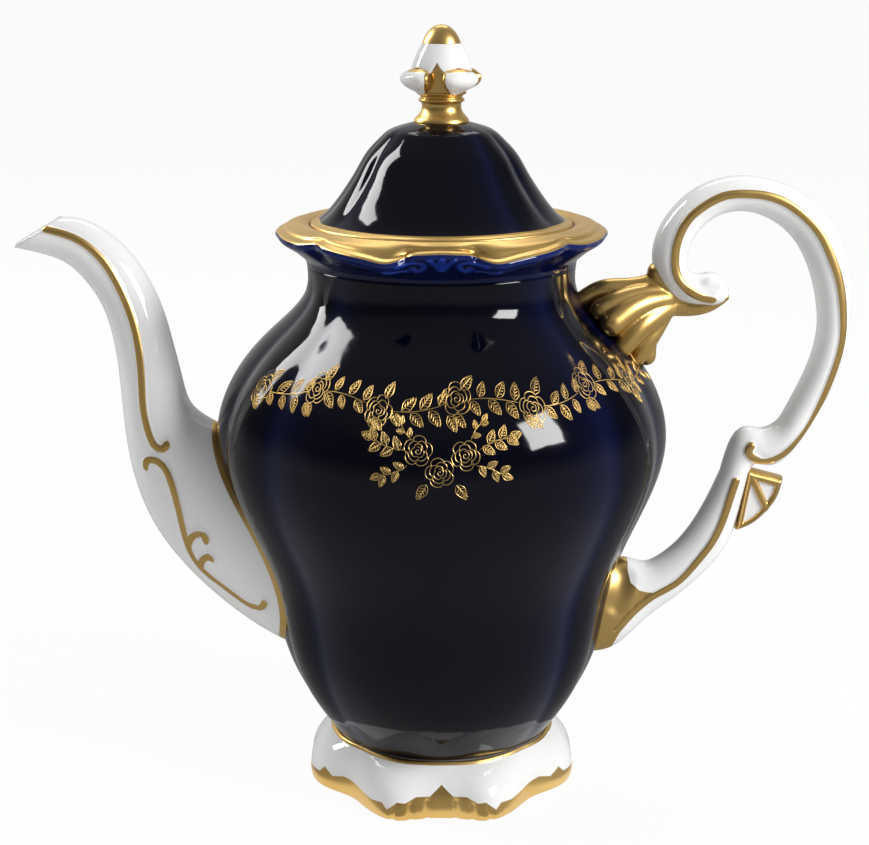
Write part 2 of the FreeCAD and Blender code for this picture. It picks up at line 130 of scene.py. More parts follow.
# Lid: rim, wall and bell as share of the rise, share of the way from knob to edge, share of the crease depth
LID_RIM = 1.8
LID_RIM_TOP = LID_BASE + LID_RIM
LID_ROUND = 0.5
LID_NECK_R = 0.97 * STEM_R
LID_WALL = 3.6
LID_WALL_DROP = 2.4
LID_INNER_SPAN = (0.9, 0.05)
LID_TURN = -10.0
# Strength of the painted sheen: lighter blue painted into the lid's creases
LID_THIN_AND_SHEEN = 0.07
LID_GILT = 0.6
LID_GILT_TOP = 0.3
LID_GILT_FADE = 0.4
LID_COLUMNS = 480
LID_ROWS = 90
LID_INNER_ROWS = 30
LID_RIM_OUTLINE = (
    (FLANGE_R - 3.4, LID_BASE), (LID_EDGE_R - LID_ROUND, LID_BASE), (LID_EDGE_R, LID_BASE + LID_ROUND),
    (LID_EDGE_R, LID_RIM_TOP - LID_ROUND), (LID_EDGE_R - LID_ROUND, LID_RIM_TOP),
)
LID_OUTLINE = (
    (0, 0.955, 0.3), (0.06, 0.88, 0.4), (0.16, 0.79, 0.5), (0.32, 0.68, 0.6), (0.52, 0.56, 0.6),
    (0.72, 0.44, 0.5), (0.86, 0.31, 0.3), (0.95, 0.17, 0.1), (1, 0, 0),
)

# Collar: its edge in one quarter, from the front ornament to the side, as plan angle, radius, height over the
# neck; the profile's place, base, radius and height from the base; and the inner side's radius and height
MOUTH_R = FLANGE_R + 0.8
GALLERY_R = LID_EDGE_R + 0.6
RIDGE_R = GALLERY_R + 3.6
RIDGE_TOP = LID_RIM_TOP + 0.1
RIM_COLUMNS = 720
COLLAR_ROWS = 64
COLLAR_EDGE = (
    (0, 49.8, 9.2), (6, 49.8, 9), (10.5, 49.4, 8.5), (13, 50.2, 7.7), (17, 52.8, 6.7), (22, 53.2, 7.1),
    (28, 53, 7.9), (36, 52.4, 8.6), (44, 51.2, 9.5), (48, 50, 9.7), (52, 50.6, 9.2), (60, 51.4, 8.8),
    (70, 51.4, 9), (80, 51, 9.2), (90, 51.4, 9),
)
COLLAR_EDGE_PLACE = 13
COLLAR_PROFILE = (
    (0, "neck", 0, 0), (1.5, "neck", 0.4, 1.4), (4, "neck", 2.2, 3.2), (9, "edge", -3, -2.6),
    (11.6, "edge", -0.7, -1.1), (COLLAR_EDGE_PLACE, "edge", 0, 0), (14.2, "edge", -0.5, 1.1),
    (16, "edge", -2.2, 1.8), (18.8, "slope", 0, 0.9), (21.2, "ridge", 1.2, -0.4), (22.5, "ridge", 0, 0),
    (24.2, "ridge", -1.6, -0.3),
)
COLLAR_INNER = (
    (GALLERY_R + 0.5, RIDGE_TOP - 0.6), (GALLERY_R, RIDGE_TOP - 1.1), (GALLERY_R, LID_BASE + 0.5),
    (GALLERY_R - 0.5, LID_BASE), (MOUTH_R + 0.8, LID_BASE), (MOUTH_R, LID_BASE - 0.8), (MOUTH_R, NECK_Z),
    (NECK_R - 2, NECK_Z),
)
GILT_START = 0.8
GILT_INNER_ROWS = 2
COBALT_INNER_ROWS = 3
# Lighter blue under the collar's edge, fading downwards: thin glaze at the edge and painted light on the
# shaded underside
COLLAR_THIN_AND_SHEEN = 0.34
COLLAR_SHEEN_LEAST = 0.1
COLLAR_SHEEN_RUN = 24.0

# Shell relief under the collar's front edge, one half, as way along the edge and below it; and its notches
SHELL_LINES = (
    ((0, 6.4), (0.3, 3.6), (0, 1)),
    ((0.4, 6.4), (1.8, 3.8), (3, 1.2)),
    ((10.4, 1.2), (8.4, 1.7), (6.2, 2.6), (4.6, 4.2), (5.2, 6), (7, 6.2), (7.6, 5)),
    ((13.4, 3.2), (11.4, 4.4), (9.4, 6)),
)
SHELL_HALF = 0.95
SHELL_HEIGHT = 0.9
# Share of lighter blue on the shell relief's ridges: thin glaze there and a painted highlight
SHELL_THIN_AND_SHEEN = 0.66
NOTCH_TURN = 12.0
NOTCH_HALF = 1.1
NOTCH_OVER = 1.0
NOTCH_RUN = 2.6
NOTCH_DEPTH = 1.1

# Foot: its edge in one quarter as plan angle and radius; the top of its gilding as plan angle and height;
# the outline's place, share of the way from belly to edge and share of the height; the inner side's share of
# that way, height and wall; flutes in the gilding and the ring at the top
FOOT_ROWS = 110
FOOT_EDGE = (
    (0, 42.2), (9, 43.6), (18, 46.4), (27, 44.9), (36, 41.9), (46, 39.6), (56, 40.8), (66, 43),
    (78, 43.6), (90, 43),
)
FOOT_GILDING = (
    (0, 10.4), (5, 7.1), (10.5, 7.3), (14.5, 5.7), (17.5, 6), (21.5, 3.4), (24, 5.1), (30, 4.5), (52, 6),
    (58, 4.8), (63.5, 6.8), (66.5, 4.6), (90, 3.2),
)
FOOT_OUTLINE = (
    (0, 0, 1), (3.4, 0.34, 0.87), (7, 0.62, 0.72), (11, 0.86, 0.52), (14.8, 0.98, 0.3), (17.6, 1, 0.12),
    (19.6, 0.96, 0),
)
FOOT_INNER = ((0.93, 0, 5), (0.85, 0.6, 6), (0.5, 8, 6), (0.1, 15, 6), (0, FOOT_H, 6))
FOOT_FLUTES = (6.0, 12.6, 19.5)
FLUTE_DEPTH = 0.8
FLUTE_HALF = 1.1
FLUTE_FADE = 1.5
FOOT_RING = 0.9
FOOT_RING_HALF = 0.75
FOOT_RING_RISE = 0.45

# Spout: upper and lower point of each section in the XZ plane and its half width
SPOUT_SECTIONS = (
    (-58, 110, -42, 40, 19), (-76, 119, -60, 49.5, 18.4), (-81.9, 130, -88.5, 77.5, 14.7),
    (-84.6, 143, -99.4, 107.5, 11.9), (-88.2, 155.8, -101.8, 136.5, 9.7),
    (-92.8, 165.2, -105.2, 152.6, 8.2), (-100.2, 174.6, -110.9, 162.3, 7.4),
    (-109, 180.4, -118, 168.4, 6.9), (-116.6, 181.8, -132.3, 172.4, 6.4),
)
SPOUT_WALL = 2.4
SPOUT_LIP = (-0.45, 0, 0.75)
SPOUT_JOINT = 1.7
SPOUT_GRID = (240, 120)

# Handle sections: point on the finger side and on the outer side in the XZ plane, half width
LOOP_SECTIONS = (
    (88.9, 100.6, 98.2, 100.2, 5.6), (90.6, 107.2, 99.8, 103, 5.7), (93.2, 112.9, 101.2, 102.8, 5.9),
    (96.6, 115, 102.8, 102.6, 6), (100.6, 114.6, 105.2, 102.6, 6.1), (104.2, 115.4, 108.4, 104, 6.2),
    (108.6, 120.4, 115.6, 113.9, 6.2), (113.8, 131.6, 123.4, 128.2, 6.2),
    (117.5, 145.3, 127.3, 144.7, 6.2), (116.6, 156.9, 127.6, 159.2, 6.2), (113.6, 166.8, 125, 171.9, 6.2),
    (109.9, 173.7, 119.9, 181.6, 6.2), (104.8, 179, 111.3, 189.2, 6.2), (97.2, 182.9, 100.5, 193.6, 6.2),
    (90.4, 183.6, 90, 194.5, 6.2), (84.6, 181.8, 79.5, 191.5, 6.2), (79.3, 177.3, 70.8, 184.1, 6.2),
    (76.6, 171.9, 66, 174.8, 6.2), (76.2, 167.9, 65.9, 165.8, 6.2), (77.2, 164.9, 71.2, 157.4, 6.2),
    (80.8, 164.2, 79.2, 154.5, 6.3), (82.6, 164.6, 84.6, 154.2, 6.3),
)
LOOP_GRID = (460, 96)
ARM_SECTIONS = (
    (88.9, 100.6, 98.2, 100.2, 5.6), (84.2, 89.9, 95.4, 87, 5.6), (77.4, 78.8, 91, 74.6, 5.7),
    (69.8, 71.8, 81.8, 63.7, 5.9), (65.4, 70, 74.6, 57.4, 6.2),
)
ROOT_SECTIONS = (
    (65.4, 70, 74.6, 57.4, 6.2), (61.6, 70.8, 67, 51.4, 7), (57.6, 71.4, 58.8, 43.4, 8.6),
    (52, 70.4, 53, 40.2, 9.4), (44, 69, 46, 39.6, 9.4),
)
ARM_GRID = (420, 132)
BURY = 1.0
END_STEPS = 10

# Raised gold lines in the XZ plane, as the camera sees them on the near side, and the groove in the volute
LINE_HALF = 1.1
LOOP_LINE_HALF = LINE_HALF + 0.1
BEAD_HEIGHT = 0.75
BEAD_SPREAD = 1.25
SPOUT_LINE = (
    (-122.4, 177.9), (-112.6, 174.6), (-105.5, 168.4), (-100.3, 159.2), (-96.9, 149.7), (-95.1, 139.2),
    (-94.6, 129.5), (-94.3, 119.7), (-92.7, 111.9), (-90, 107.8), (-88, 107.8), (-87.4, 109.2),
)
SPOUT_SCROLL = (
    (-94.2, 101.6), (-94, 103.6), (-91.8, 104), (-89.2, 102.4), (-86.3, 96), (-84, 85.9), (-82.1, 76.9),
    (-79.4, 70.2), (-73.1, 63.6), (-65.5, 57.4), (-60.7, 54.6), (-58.2, 54.6), (-57.6, 56),
)
SPOUT_CURLS = (
    ((-81.6, 74.8), (-80.6, 77.8), (-78, 79.3), (-76, 78.4), (-75.9, 76.8)),
    ((-78, 68.4), (-77, 70.6), (-75.2, 71.6), (-74.2, 70.8)),
)
LOOP_LINE = (
    (84.6, 155.8), (81.6, 156.4), (77.5, 158.6), (73.6, 163), (72.5, 168.7), (73.6, 175.6), (76.8, 181.5),
    (81.6, 185.5), (87.3, 188.3), (93.5, 188.9), (100, 188.3), (106.2, 186.1), (112.3, 181.8),
    (117.2, 176.5), (120.9, 169.6), (123.8, 162.1), (125.4, 153.6), (125.7, 143.3), (123.7, 133.4),
    (118.4, 119.7), (112.8, 110.2), (107.9, 105.3), (103.9, 103.8), (99.6, 104.6), (97.8, 106.8),
    (98.6, 108.6),
)
ARM_LINE = (
    (94.2, 97), (93.1, 93.3), (90.6, 84.3), (86.6, 75.4), (83, 70.4), (75.8, 62.4), (69.4, 58.5),
    (62, 52), (57.5, 46.5),
)
VOLUTE_GROOVE = ((80.4, 161), (82.8, 159.9), (85.2, 160.2))
VOLUTE_HALF = 2.4
VOLUTE_DEPTH = 1.1

# Gilded field of the lower root in the XZ plane, and the dish sunk in it
ROOT_DISH = ((58.8, 65), (58.4, 60), (57, 55))
ROOT_DISH_HALF = 4.0
ROOT_DISH_DEPTH = 1.2
ROOT_GILDING = (
    (40, 76), (59.8, 74), (59.9, 69), (60.8, 65), (63.5, 62.4), (66.5, 61.6), (69.6, 61.4), (63.5, 56),
    (59, 51), (56.5, 46), (54, 38), (40, 36),
)

# Acanthus leaf: fingers of one side as points with a radius; those off the middle are mirrored
LEAF_FINGERS = (
    ((67, 0, 161, 3.4), (58, 0, 159.5, 3.3), (50, 0, 158.8, 3.3), (43.5, 0, 155.8, 2.6)),
    ((67, -1.5, 158, 3.6), (58, -5.4, 156.8, 4), (49.5, -7.6, 153.8, 3.8)),
    ((70, -2, 156.5, 3), (60, -7.4, 155, 3.9), (52.5, -10.8, 150.5, 4.2)),
    ((70, -2, 153.5, 3.2), (62, -7.4, 149.5, 4.1), (56, -10.2, 143, 3.3)),
    ((69, -1, 151.5, 3.2), (64.4, -4.6, 145, 3.5), (61, -6, 138.8, 2.8)),
    ((67.5, 0, 150.5, 3.4), (65, 0, 143.5, 2.9), (64.4, 0, 138, 3.1)),
    ((88.6, 0, 156.6, 1.3), (84, 0, 154.6, 2.4), (77, 0, 153.6, 3), (70, 0, 154.8, 4.2), (65, 0, 155.5, 5.6)),
    ((76, 0, 156.5, 3), (70, 0, 160.5, 4.2), (67.5, 0, 164.5, 3.6)),
)
FINGER_STEPS = 24
FINGER_END_STEPS = 6
FINGER_ASIDE = (0.31, 0.87, 0.38)
LEAF_VOXEL = 0.45
LEAF_PASSES = 6

# Fan behind the elbow in the XZ plane
FAN_HUB = (97.6, 101.6)
FAN_RIM = ((108.8, 98.6), (107.2, 92.4), (103.6, 87.2), (99, 83.2), (94.4, 81.2))
FAN_START = 0.02
FAN_TURN = 1.5
FAN_BORDER = 2.3
FAN_RIB_HALF = 1.2
FAN_ROUND = 1.6
FAN_FIELD = 3.1
FAN_EDGE = 0.35
FAN_RELIEF = 1.0
FAN_ROWS = 60
FAN_COLUMNS = 121

# Printed garland: pen and vine; a pair is the least value and what chance adds to it
PRINT_HALF = 0.12
PRINT_LIFT = 0.09
PRINT_SINK = 0.1
PRINT_TAPER = 0.12
GARLAND_SEED = 5
VINE_Z = FOOT_H + 0.795 * BELLY_H
VINE_WAVE = 41.0
VINE_RISE = 1.7
VINE_START = 4.0
VINE_ROSES = 3
VINE_ROSE_R = (3.7, 0.4)
VINE_ROSE_SWAY = 0.8
VINE_STEM = (3.6, 18, 7)
VINE_LEAVES = 9
VINE_LEAF_STEP = 2.4
VINE_LEAF = (3.9, 1.3)
VINE_SLANT = (38, 34)
VINE_GAP = 0.4
ROSE_GAP = 2.8
ROSE_GAP_STEPS = (0, 1, 8)
CLUSTER_Z = FOOT_H + 0.715 * BELLY_H
# Cluster: plan angle and height over its middle, with a rose's turn, a twig's leaves, length and slant,
# or a leaf's length and slant
CLUSTER_ROSE_R = 3.9
CLUSTER_ROSES = ((-5.6, 0.6, 10), (5.6, -0.6, 60), (-0.4, -5.2, 35))
CLUSTER_TWIGS = ((9, 0.8, 5, 9.5, 74), (8, -3.4, 4, 8, 112), (7, 3.4, 3, 6, 40))
CLUSTER_LEAF = (3.4, -8.6, 5.2, 34)
# Rings of a rose: share of its radius, petals and the degrees that one spans
ROSE_RINGS = ((1, 5, 84), (0.72, 4, 100), (0.46, 3, 125))
ROSE_RING_TURN = 37
ROSE_PETAL = (0.8, 1, 1.05, 1, 0.72)
ROSE_SPIRAL = (0.035, 2.6 * np.pi, 8)
LEAF_HALF = 0.26
LEAF_VEINS = (0.2, 0.38, 0.56, 0.72)
TWIG_SLANT = 48
TWIG_LEAF = 0.44

# Knob: turned outlines as radius and height; the skirt's lower edge as angle from a gap and height over the
# stem; and the petal as share of its length, reach, height over the stem and half angle
TURNED_COLUMNS = 128
TURNED_ROWS = 60
STEM_OUTLINE = (
    (8.5, 0), (8.3, 0.7), (7, 2.3), (6.1, 4), (6, 5), (6.3, 5.9), (6.9, 6.3), (6.9, 7), (6.4, 7.4),
    (6.6, 8), (7.5, 8.5), (7.6, 9),
)
TIP_OUTLINE = ((5.9, 0), (5.5, 0.2), (4.8, 0.45), (3.6, 0.72), (1.9, 0.93), (0.3, 1))
BUD_SKIRT = ((0, 8.7), (4, 7.8), (9, 6.7), (16, 5.4), (20, 5.6), (30, 6.6), (45, 7))
BUD_OUTLINE = ((9.4, 0), (9.4, 5.4), (9, 7.8), (8.2, 10), (7.1, 12.4), (5.9, 14.5))
BUD_CORE_R = 7.2
BUD_COLUMNS = 240
BUD_ROWS = 90
SKIRT_SOFT = 0.6
SKIRT_GILT = 0.1
PETAL_OUTLINE = (
    (0, 7, -0.8, 9), (0.2, 9.8, 0.7, 22), (0.4, 12.3, 2.4, 31), (0.55, 13.2, 4, 33),
    (0.72, 12.6, 5.5, 32), (0.88, 10.8, 6.6, 29), (1, 9.2, 7.2, 25),
)
PETAL_STEPS = 41
PETAL_LENGTH = 7.0
PETAL_HALF = 5.0
PETAL_GILT_TOP = 0.84
PETAL_GILT_SIDE = 0.9
PETAL_CURL = 1.5
PETAL_WALL = 2.4
PETAL_SINK = 0.5

# Colours of the finishes, and their noise as scale, detail, least and greatest value
WHITE = (0.80, 0.80, 0.795, 1)
WHITE_DEEP = (0.75, 0.75, 0.745, 1)
COBALT = (0.0008, 0.0008, 0.0042, 1)
# The lighter blue below stands for thin glaze and is also a painted sheen: light painted on the creases, the
# shell relief and the collar's shaded underside
COBALT_THIN_AND_SHEEN = (0.013, 0.036, 0.25, 1)
GOLD = (0.86, 0.59, 0.22, 1)
GOLD_DEEP = (0.74, 0.47, 0.14, 1)
WHITE_IOR = 1.5
COBALT_IOR = 1.36
NOISE_RANGE = (0.3, 0.7)
WHITE_TINT = (25.0, 3.0, 0.0, 1.0)
GOLD_TINT = (35.0, 2.0, 0.0, 1.0)
BARE_TINT = (90.0, 4.0, 0.0, 1.0)
GLAZE_ROUGHNESS = (55.0, 3.0, 0.05, 0.09)
GOLD_ROUGHNESS = (60.0, 2.0, 0.3, 0.4)
BARE_ROUGHNESS = (300.0, 4.0, 0.42, 0.55)
GLAZE_WAVES = (70.0, 2.0, 0.0, 1.0)
GLAZE_BUMP = 0.0004
GILDING_BUMP = 0.0003
BUMP_STRENGTH = 0.25

# Studio in metres: floor and sky with the share of white that camera and reflections see, lamps with place,
# size and watts
FLOOR_HALF = 30.0
PAPER = (0.8, 0.8, 0.8, 1)
FLOOR_SEEN = 0.94
SKY_SEEN = 0.97
SKY_FILL = 0.36
LAMP_AIM = (0, 0, 0.12)
LAMPS = (
    ("strip_left", (-1.0, 0.42, 0.85), (0.32, 0.75), 10),
    ("window_right", (0.88, -0.5, 0.66), (0.42, 0.4), 13),
    ("top_back", (0.0, 0.8, 1.3), (0.9, 0.4), 3),
)

# Drape round the set: outline as radius and height in millimetres, brightness by share of the height, and
# the range behind the pot, in metres, over which it brightens, with the brightness at both ends
DRAPE_TOP = 2450
DRAPE_OUTLINE = (
    (47, 0.6), (300, 0.6), (900, 1), (1700, 2), (1900, 200), (1900, 1500), (1500, 2100), (700, 2400),
    (0, DRAPE_TOP),
)
DRAPE_LEVELS = ((0, 0.34), (0.05, 0.26), (0.18, 0.09), (0.42, 0.1), (0.65, 0.2), (1, 0.25))
DRAPE_BACK = (0.2, 1.9, 0.0, 0.5)
DRAPE_COLUMNS = 96

# Camera that matches the photograph's view, found from the ellipses of lid, foot ring and foot
CAMERA_PLACE = (0.0, -580.9, 263.6)
CAMERA_PITCH = 14.23
CAMERA_LENS = 78.21
CAMERA_SENSOR = 36.0
CAMERA_SHIFT_X = -0.0081


def smooth(places, values, period=None):
    """Function that runs through the values as a natural cubic curve, or round a period."""
    places = np.array(places, float)
    values = np.array(values, float)
    if period:
        places = np.concatenate([places - period, places, places + period])
        values = np.concatenate([values, values, values])
    count = len(places)
    width = np.diff(places)
    matrix = np.eye(count)
    right = np.zeros_like(values)
    for i in range(1, count - 1):
        matrix[i, i - 1:i + 2] = width[i - 1], 2 * (width[i - 1] + width[i]), width[i]
        right[i] = 6 * ((values[i + 1] - values[i]) / width[i] - (values[i] - values[i - 1]) / width[i - 1])
    bend = np.linalg.solve(matrix, right)

    def value(at):
        at = np.asarray(at, float)
        i = np.clip(np.searchsorted(places, at, side="right") - 1, 0, count - 2)
        extra = (...,) + (None,) * (values.ndim - 1)
        w = width[i][extra]
        before = (places[i + 1] - at)[extra]
        after = (at - places[i])[extra]
        return ((bend[i] * before ** 3 + bend[i + 1] * after ** 3) / (6 * w)
                + (values[i] / w - bend[i] * w / 6) * before
                + (values[i + 1] / w - bend[i + 1] * w / 6) * after)
    return value


def column(table, index):
    return np.array([row[index] for row in table], float)


def lengths(points):
    """Way along a polyline to each of its points."""
    return np.concatenate([[0], np.cumsum(norm(np.diff(points, axis=0), axis=1))])


def path(points, count):
    """Points spread evenly along the smooth curve through the given ones."""
    points = np.array(points, float)
    places = lengths(points)
    return smooth(places, points)(np.linspace(0, places[-1], count))


def quarter(table, index):
    """Periodic function of the plan angle from a table that covers the first quarter."""
    half = [(row[0], row[index]) for row in table] + [(180 - row[0], row[index]) for row in table[-2::-1]]
    whole = half + [(360 - angle, value) for angle, value in half[-2:0:-1]]
    return smooth(column(whole, 0), column(whole, 1), 360.0)


def turns(count, full=360.0):
    """Angles spread evenly round a full turn."""
    return np.linspace(0, full, count, endpoint=False)


def unit(vectors):
    return vectors / norm(vectors, axis=1, keepdims=True)


def make_lobes():
    """Function of the plan angle that is 0 on the crest of a lobe and 1 in the crease beside it."""
    fine = np.arange(0, 360, LOBE_STEP)
    valleys = np.sort(np.array(CREASES) % 360)
    edges = np.concatenate([valleys[-1:] - 360, valleys, valleys[:1] + 360])
    k = np.searchsorted(edges, fine, side="right") - 1
    middle = (edges[k] + edges[k + 1]) / 2
    share = np.abs(fine - middle) / ((edges[k + 1] - edges[k]) / 2)
    steps = np.arange(-60, 61)
    weight = np.exp(-0.5 * (steps * LOBE_STEP / CREASE_SOFT) ** 2)
    soft = sum(w * np.roll(share ** 2, step) for step, w in zip(steps, weight)) / weight.sum()

    def lobes(angle):
        return np.interp(np.asarray(angle) % 360, np.append(fine, 360.0), np.append(soft, soft[0]))
    return lobes


lobes = make_lobes()
belly_heights = FOOT_H + column(BELLY_OUTLINE, 0) * BELLY_H
belly_line = smooth(belly_heights, column(BELLY_OUTLINE, 1))
belly_crease = smooth(belly_heights, column(BELLY_OUTLINE, 2) * CREASE_DEPTH)


def belly_radius(angle, z):
    return belly_line(z) - belly_crease(z) * lobes(angle)


def polar(angle, radius, z):
    turn = np.radians(angle)
    return np.stack(np.broadcast_arrays(radius * np.sin(turn), -radius * np.cos(turn), z), -1)


def rings(angle, rows):
    """Grid of points from rows of radius and height."""
    return np.array([polar(angle, radius, z) for radius, z in rows])


def outside_belly(points):
    """How far points lie outside the belly's surface."""
    angle = np.degrees(np.arctan2(points[..., 0], -points[..., 1]))
    z = np.clip(points[..., 2], FOOT_H, NECK_Z)
    return np.hypot(points[..., 0], points[..., 1]) - belly_radius(angle, z)


def distance(points, line):
    """Distance from each point to a polyline."""
    best = np.full(len(points), np.inf)
    for start, end in zip(line[:-1], line[1:]):
        run = end - start
        share = np.clip((points - start) @ run / (run @ run), 0, 1)
        best = np.minimum(best, norm(points - start - share[:, None] * run, axis=1))
    return best


def inside(points, corners):
    """Distance to the edge of a flat field, positive inside it."""
    corners = np.array(corners, float)
    crossed = np.zeros(len(points), bool)
    for (x0, z0), (x1, z1) in zip(corners, np.roll(corners, -1, axis=0)):
        spans = (z0 > points[:, 1]) != (z1 > points[:, 1])
        rise = z1 - z0 if z1 != z0 else 1.0
        crossed ^= spans & (points[:, 0] < x0 + (x1 - x0) * (points[:, 1] - z0) / rise)
    return np.where(crossed, 1, -1) * distance(points, np.concatenate([corners, corners[:1]]))


def grid_faces(rows, columns, closed_rows=False, closed_columns=True, first=0):
    """Quads between neighbouring rows and columns of a grid of points."""
    r, c = np.meshgrid(np.arange(rows if closed_rows else rows - 1),
                       np.arange(columns if closed_columns else columns - 1), indexing="ij")
    r2, c2 = (r + 1) % rows, (c + 1) % columns
    quads = np.stack([r * columns + c, r * columns + c2, r2 * columns + c2, r2 * columns + c], -1)
    return (quads.reshape(-1, 4) + first).tolist()


def make_object(name, points, faces, material, **marks):
    """Smooth mesh object from points in millimetres, with a named float per point for the material."""
    mesh = bpy.data.meshes.new(name)
    mesh.from_pydata((np.asarray(points).reshape(-1, 3) * MM).tolist(), [], faces)
    for mark, values in marks.items():
        attribute = mesh.attributes.new(mark, "FLOAT", "POINT")
        attribute.data.foreach_set("value", np.asarray(values, float).ravel())
    shape = bmesh.new()
    shape.from_mesh(mesh)
    bmesh.ops.remove_doubles(shape, verts=shape.verts, dist=1e-6)
    loose = [edge for edge in shape.edges if not edge.link_faces]
    bmesh.ops.delete(shape, geom=loose, context="EDGES")
    bmesh.ops.recalc_face_normals(shape, faces=shape.faces)
    shape.to_mesh(mesh)
    shape.free()
    mesh.shade_smooth()
    mesh.materials.append(material)
    piece = bpy.data.objects.new(name, mesh)
    COLLECTION.link(piece)
    return piece


def make_grid(name, grid, material, closed_rows=False, **marks):
    """Object from a grid of points whose columns close into rings."""
    return make_object(name, grid, grid_faces(*grid.shape[:2], closed_rows=closed_rows), material, **marks)


def belong(piece, body, node):
    """Hangs the piece on the body that carries it and hides the solid that it stands for."""
    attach(piece, body)
    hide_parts(node)


def apply_modifiers(piece):
    shape = bpy.data.meshes.new_from_object(piece.evaluated_get(bpy.context.evaluated_depsgraph_get()))
    piece.modifiers.clear()
    piece.data = shape


def vertex_values(piece, name):
    """Points in metres, or normals, of a piece's mesh."""
    values = np.empty(len(piece.data.vertices) * 3)
    piece.data.vertices.foreach_get(name, values)
    return values.reshape(-1, 3)


def on_surface(piece, line):
    """Points of the XZ plane brought on to the near side of a piece, along the camera's sight lines."""
    tree = BVHTree.FromObject(piece, bpy.context.evaluated_depsgraph_get())
    eye = np.array(CAMERA_PLACE)
    placed = []
    for x, z in path(line, 6 * len(line)):
        sight = np.array((x, 0, z)) - eye
        hit = tree.ray_cast(Vector(eye * MM), Vector(sight).normalized())[0]
        if hit is not None:
            placed.append(np.array(hit) / MM)
    return np.array(placed)


def raise_lines(piece, lines, half, height, gilded=True):
    """Raises rounded beads along lines on both sides, or sinks grooves, and may mark them as gilded."""
    points = vertex_values(piece, "co") / MM
    near = np.full(len(points), np.inf)
    for line in lines:
        for side in (1, -1):
            near = np.minimum(near, distance(points, line * np.array((1, side, 1))))
    rise = np.clip(1 - (near / (BEAD_SPREAD * half)) ** 2, 0, None)
    lift = height * (np.sqrt(rise) if height > 0 else rise ** 2)
    points += vertex_values(piece, "normal") * lift[:, None]
    piece.data.vertices.foreach_set("co", (points * MM).ravel())
    piece.data.update()
    if not gilded:
        return
    gold = piece.data.attributes.get("gold")
    marks = np.full(len(points), -np.inf)
    if gold:
        gold.data.foreach_get("value", marks)
    else:
        gold = piece.data.attributes.new("gold", "FLOAT", "POINT")
    gold.data.foreach_set("value", np.maximum(marks, half - near))


# Materials

def feed(tree, node, inputs):
    """Links sockets to a node's inputs, or sets values on them."""
    for key, value in inputs.items():
        if isinstance(value, bpy.types.NodeSocket):
            tree.links.new(value, node.inputs[key])
        else:
            node.inputs[key].default_value = value


def node_of(tree, kind, inputs=None, **settings):
    """New node with its settings and inputs."""
    node = tree.nodes.new(kind)
    for key, value in settings.items():
        setattr(node, key, value)
    feed(tree, node, inputs or {})
    return node


def ranged(tree, value, start, end, least=0.0, most=1.0, steps="LINEAR"):
    """Value spread from one range to another, evenly or as a smooth step."""
    spread = {"Value": value, "From Min": start, "From Max": end, "To Min": least, "To Max": most}
    return node_of(tree, "ShaderNodeMapRange", spread, interpolation_type=steps).outputs["Result"]


def noise(tree, scale, detail, least, most):
    """Noise over the object's own space, spread to a range of values."""
    place = node_of(tree, "ShaderNodeTexCoord").outputs["Object"]
    texture = node_of(tree, "ShaderNodeTexNoise", {"Vector": place, "Scale": scale, "Detail": detail})
    return ranged(tree, texture.outputs["Fac"], *NOISE_RANGE, least, most)


def mark_factor(tree, mark, soft):
    """0 outside and 1 inside the area that a mark is positive on, with an edge this soft in millimetres."""
    attribute = node_of(tree, "ShaderNodeAttribute", attribute_name=mark)
    return ranged(tree, attribute.outputs["Fac"], -soft, soft, steps="SMOOTHSTEP")


def mixed(tree, factor, a, b, kind="RGBA"):
    """Mix of two colours or numbers by a factor."""
    first, second, result = {"FLOAT": (2, 3, 0), "RGBA": (6, 7, 2)}[kind]
    return node_of(tree, "ShaderNodeMix", {0: factor, first: a, second: b}, data_type=kind).outputs[result]


def math_of(tree, operation, a, b):
    return node_of(tree, "ShaderNodeMath", {0: a, 1: b}, operation=operation).outputs[0]


def gold_colour(tree):
    return mixed(tree, noise(tree, *GOLD_TINT), GOLD_DEEP, GOLD)


def glaze_bump(tree, depth):
    """Faint waviness of the fired glaze."""
    waves = {"Strength": BUMP_STRENGTH, "Distance": depth, "Height": noise(tree, *GLAZE_WAVES)}
    return node_of(tree, "ShaderNodeBump", waves).outputs["Normal"]


def new_material(name):
    """New material with its node tree."""
    material = bpy.data.materials.new(name)
    material.use_nodes = True
    return material, material.node_tree


def make_porcelain(name, cobalt):
    """Glazed porcelain, white or cobalt over white, with gilding where the gold mark is positive."""
    material, tree = new_material(name)
    colour = mixed(tree, noise(tree, *WHITE_TINT), WHITE, WHITE_DEEP)
    if cobalt:
        # This mark paints the cobalt lighter, partly as thin glaze and partly as painted sheen where edges,
        # ridges and creases catch light
        thin = node_of(tree, "ShaderNodeAttribute", attribute_name="thin").outputs["Fac"]
        blue = mixed(tree, thin, COBALT, COBALT_THIN_AND_SHEEN)
        colour = mixed(tree, mark_factor(tree, "white", WHITE_SOFT), blue, colour)
    gold = mark_factor(tree, "gold", GOLD_SOFT)
    glaze = noise(tree, *GLAZE_ROUGHNESS)
    feed(tree, tree.nodes["Principled BSDF"], {
        "Base Color": mixed(tree, gold, colour, gold_colour(tree)),
        "Metallic": gold,
        "Roughness": mixed(tree, gold, glaze, noise(tree, *GOLD_ROUGHNESS), "FLOAT"),
        "IOR": COBALT_IOR if cobalt else WHITE_IOR,
        "Normal": glaze_bump(tree, GLAZE_BUMP),
    })
    return material


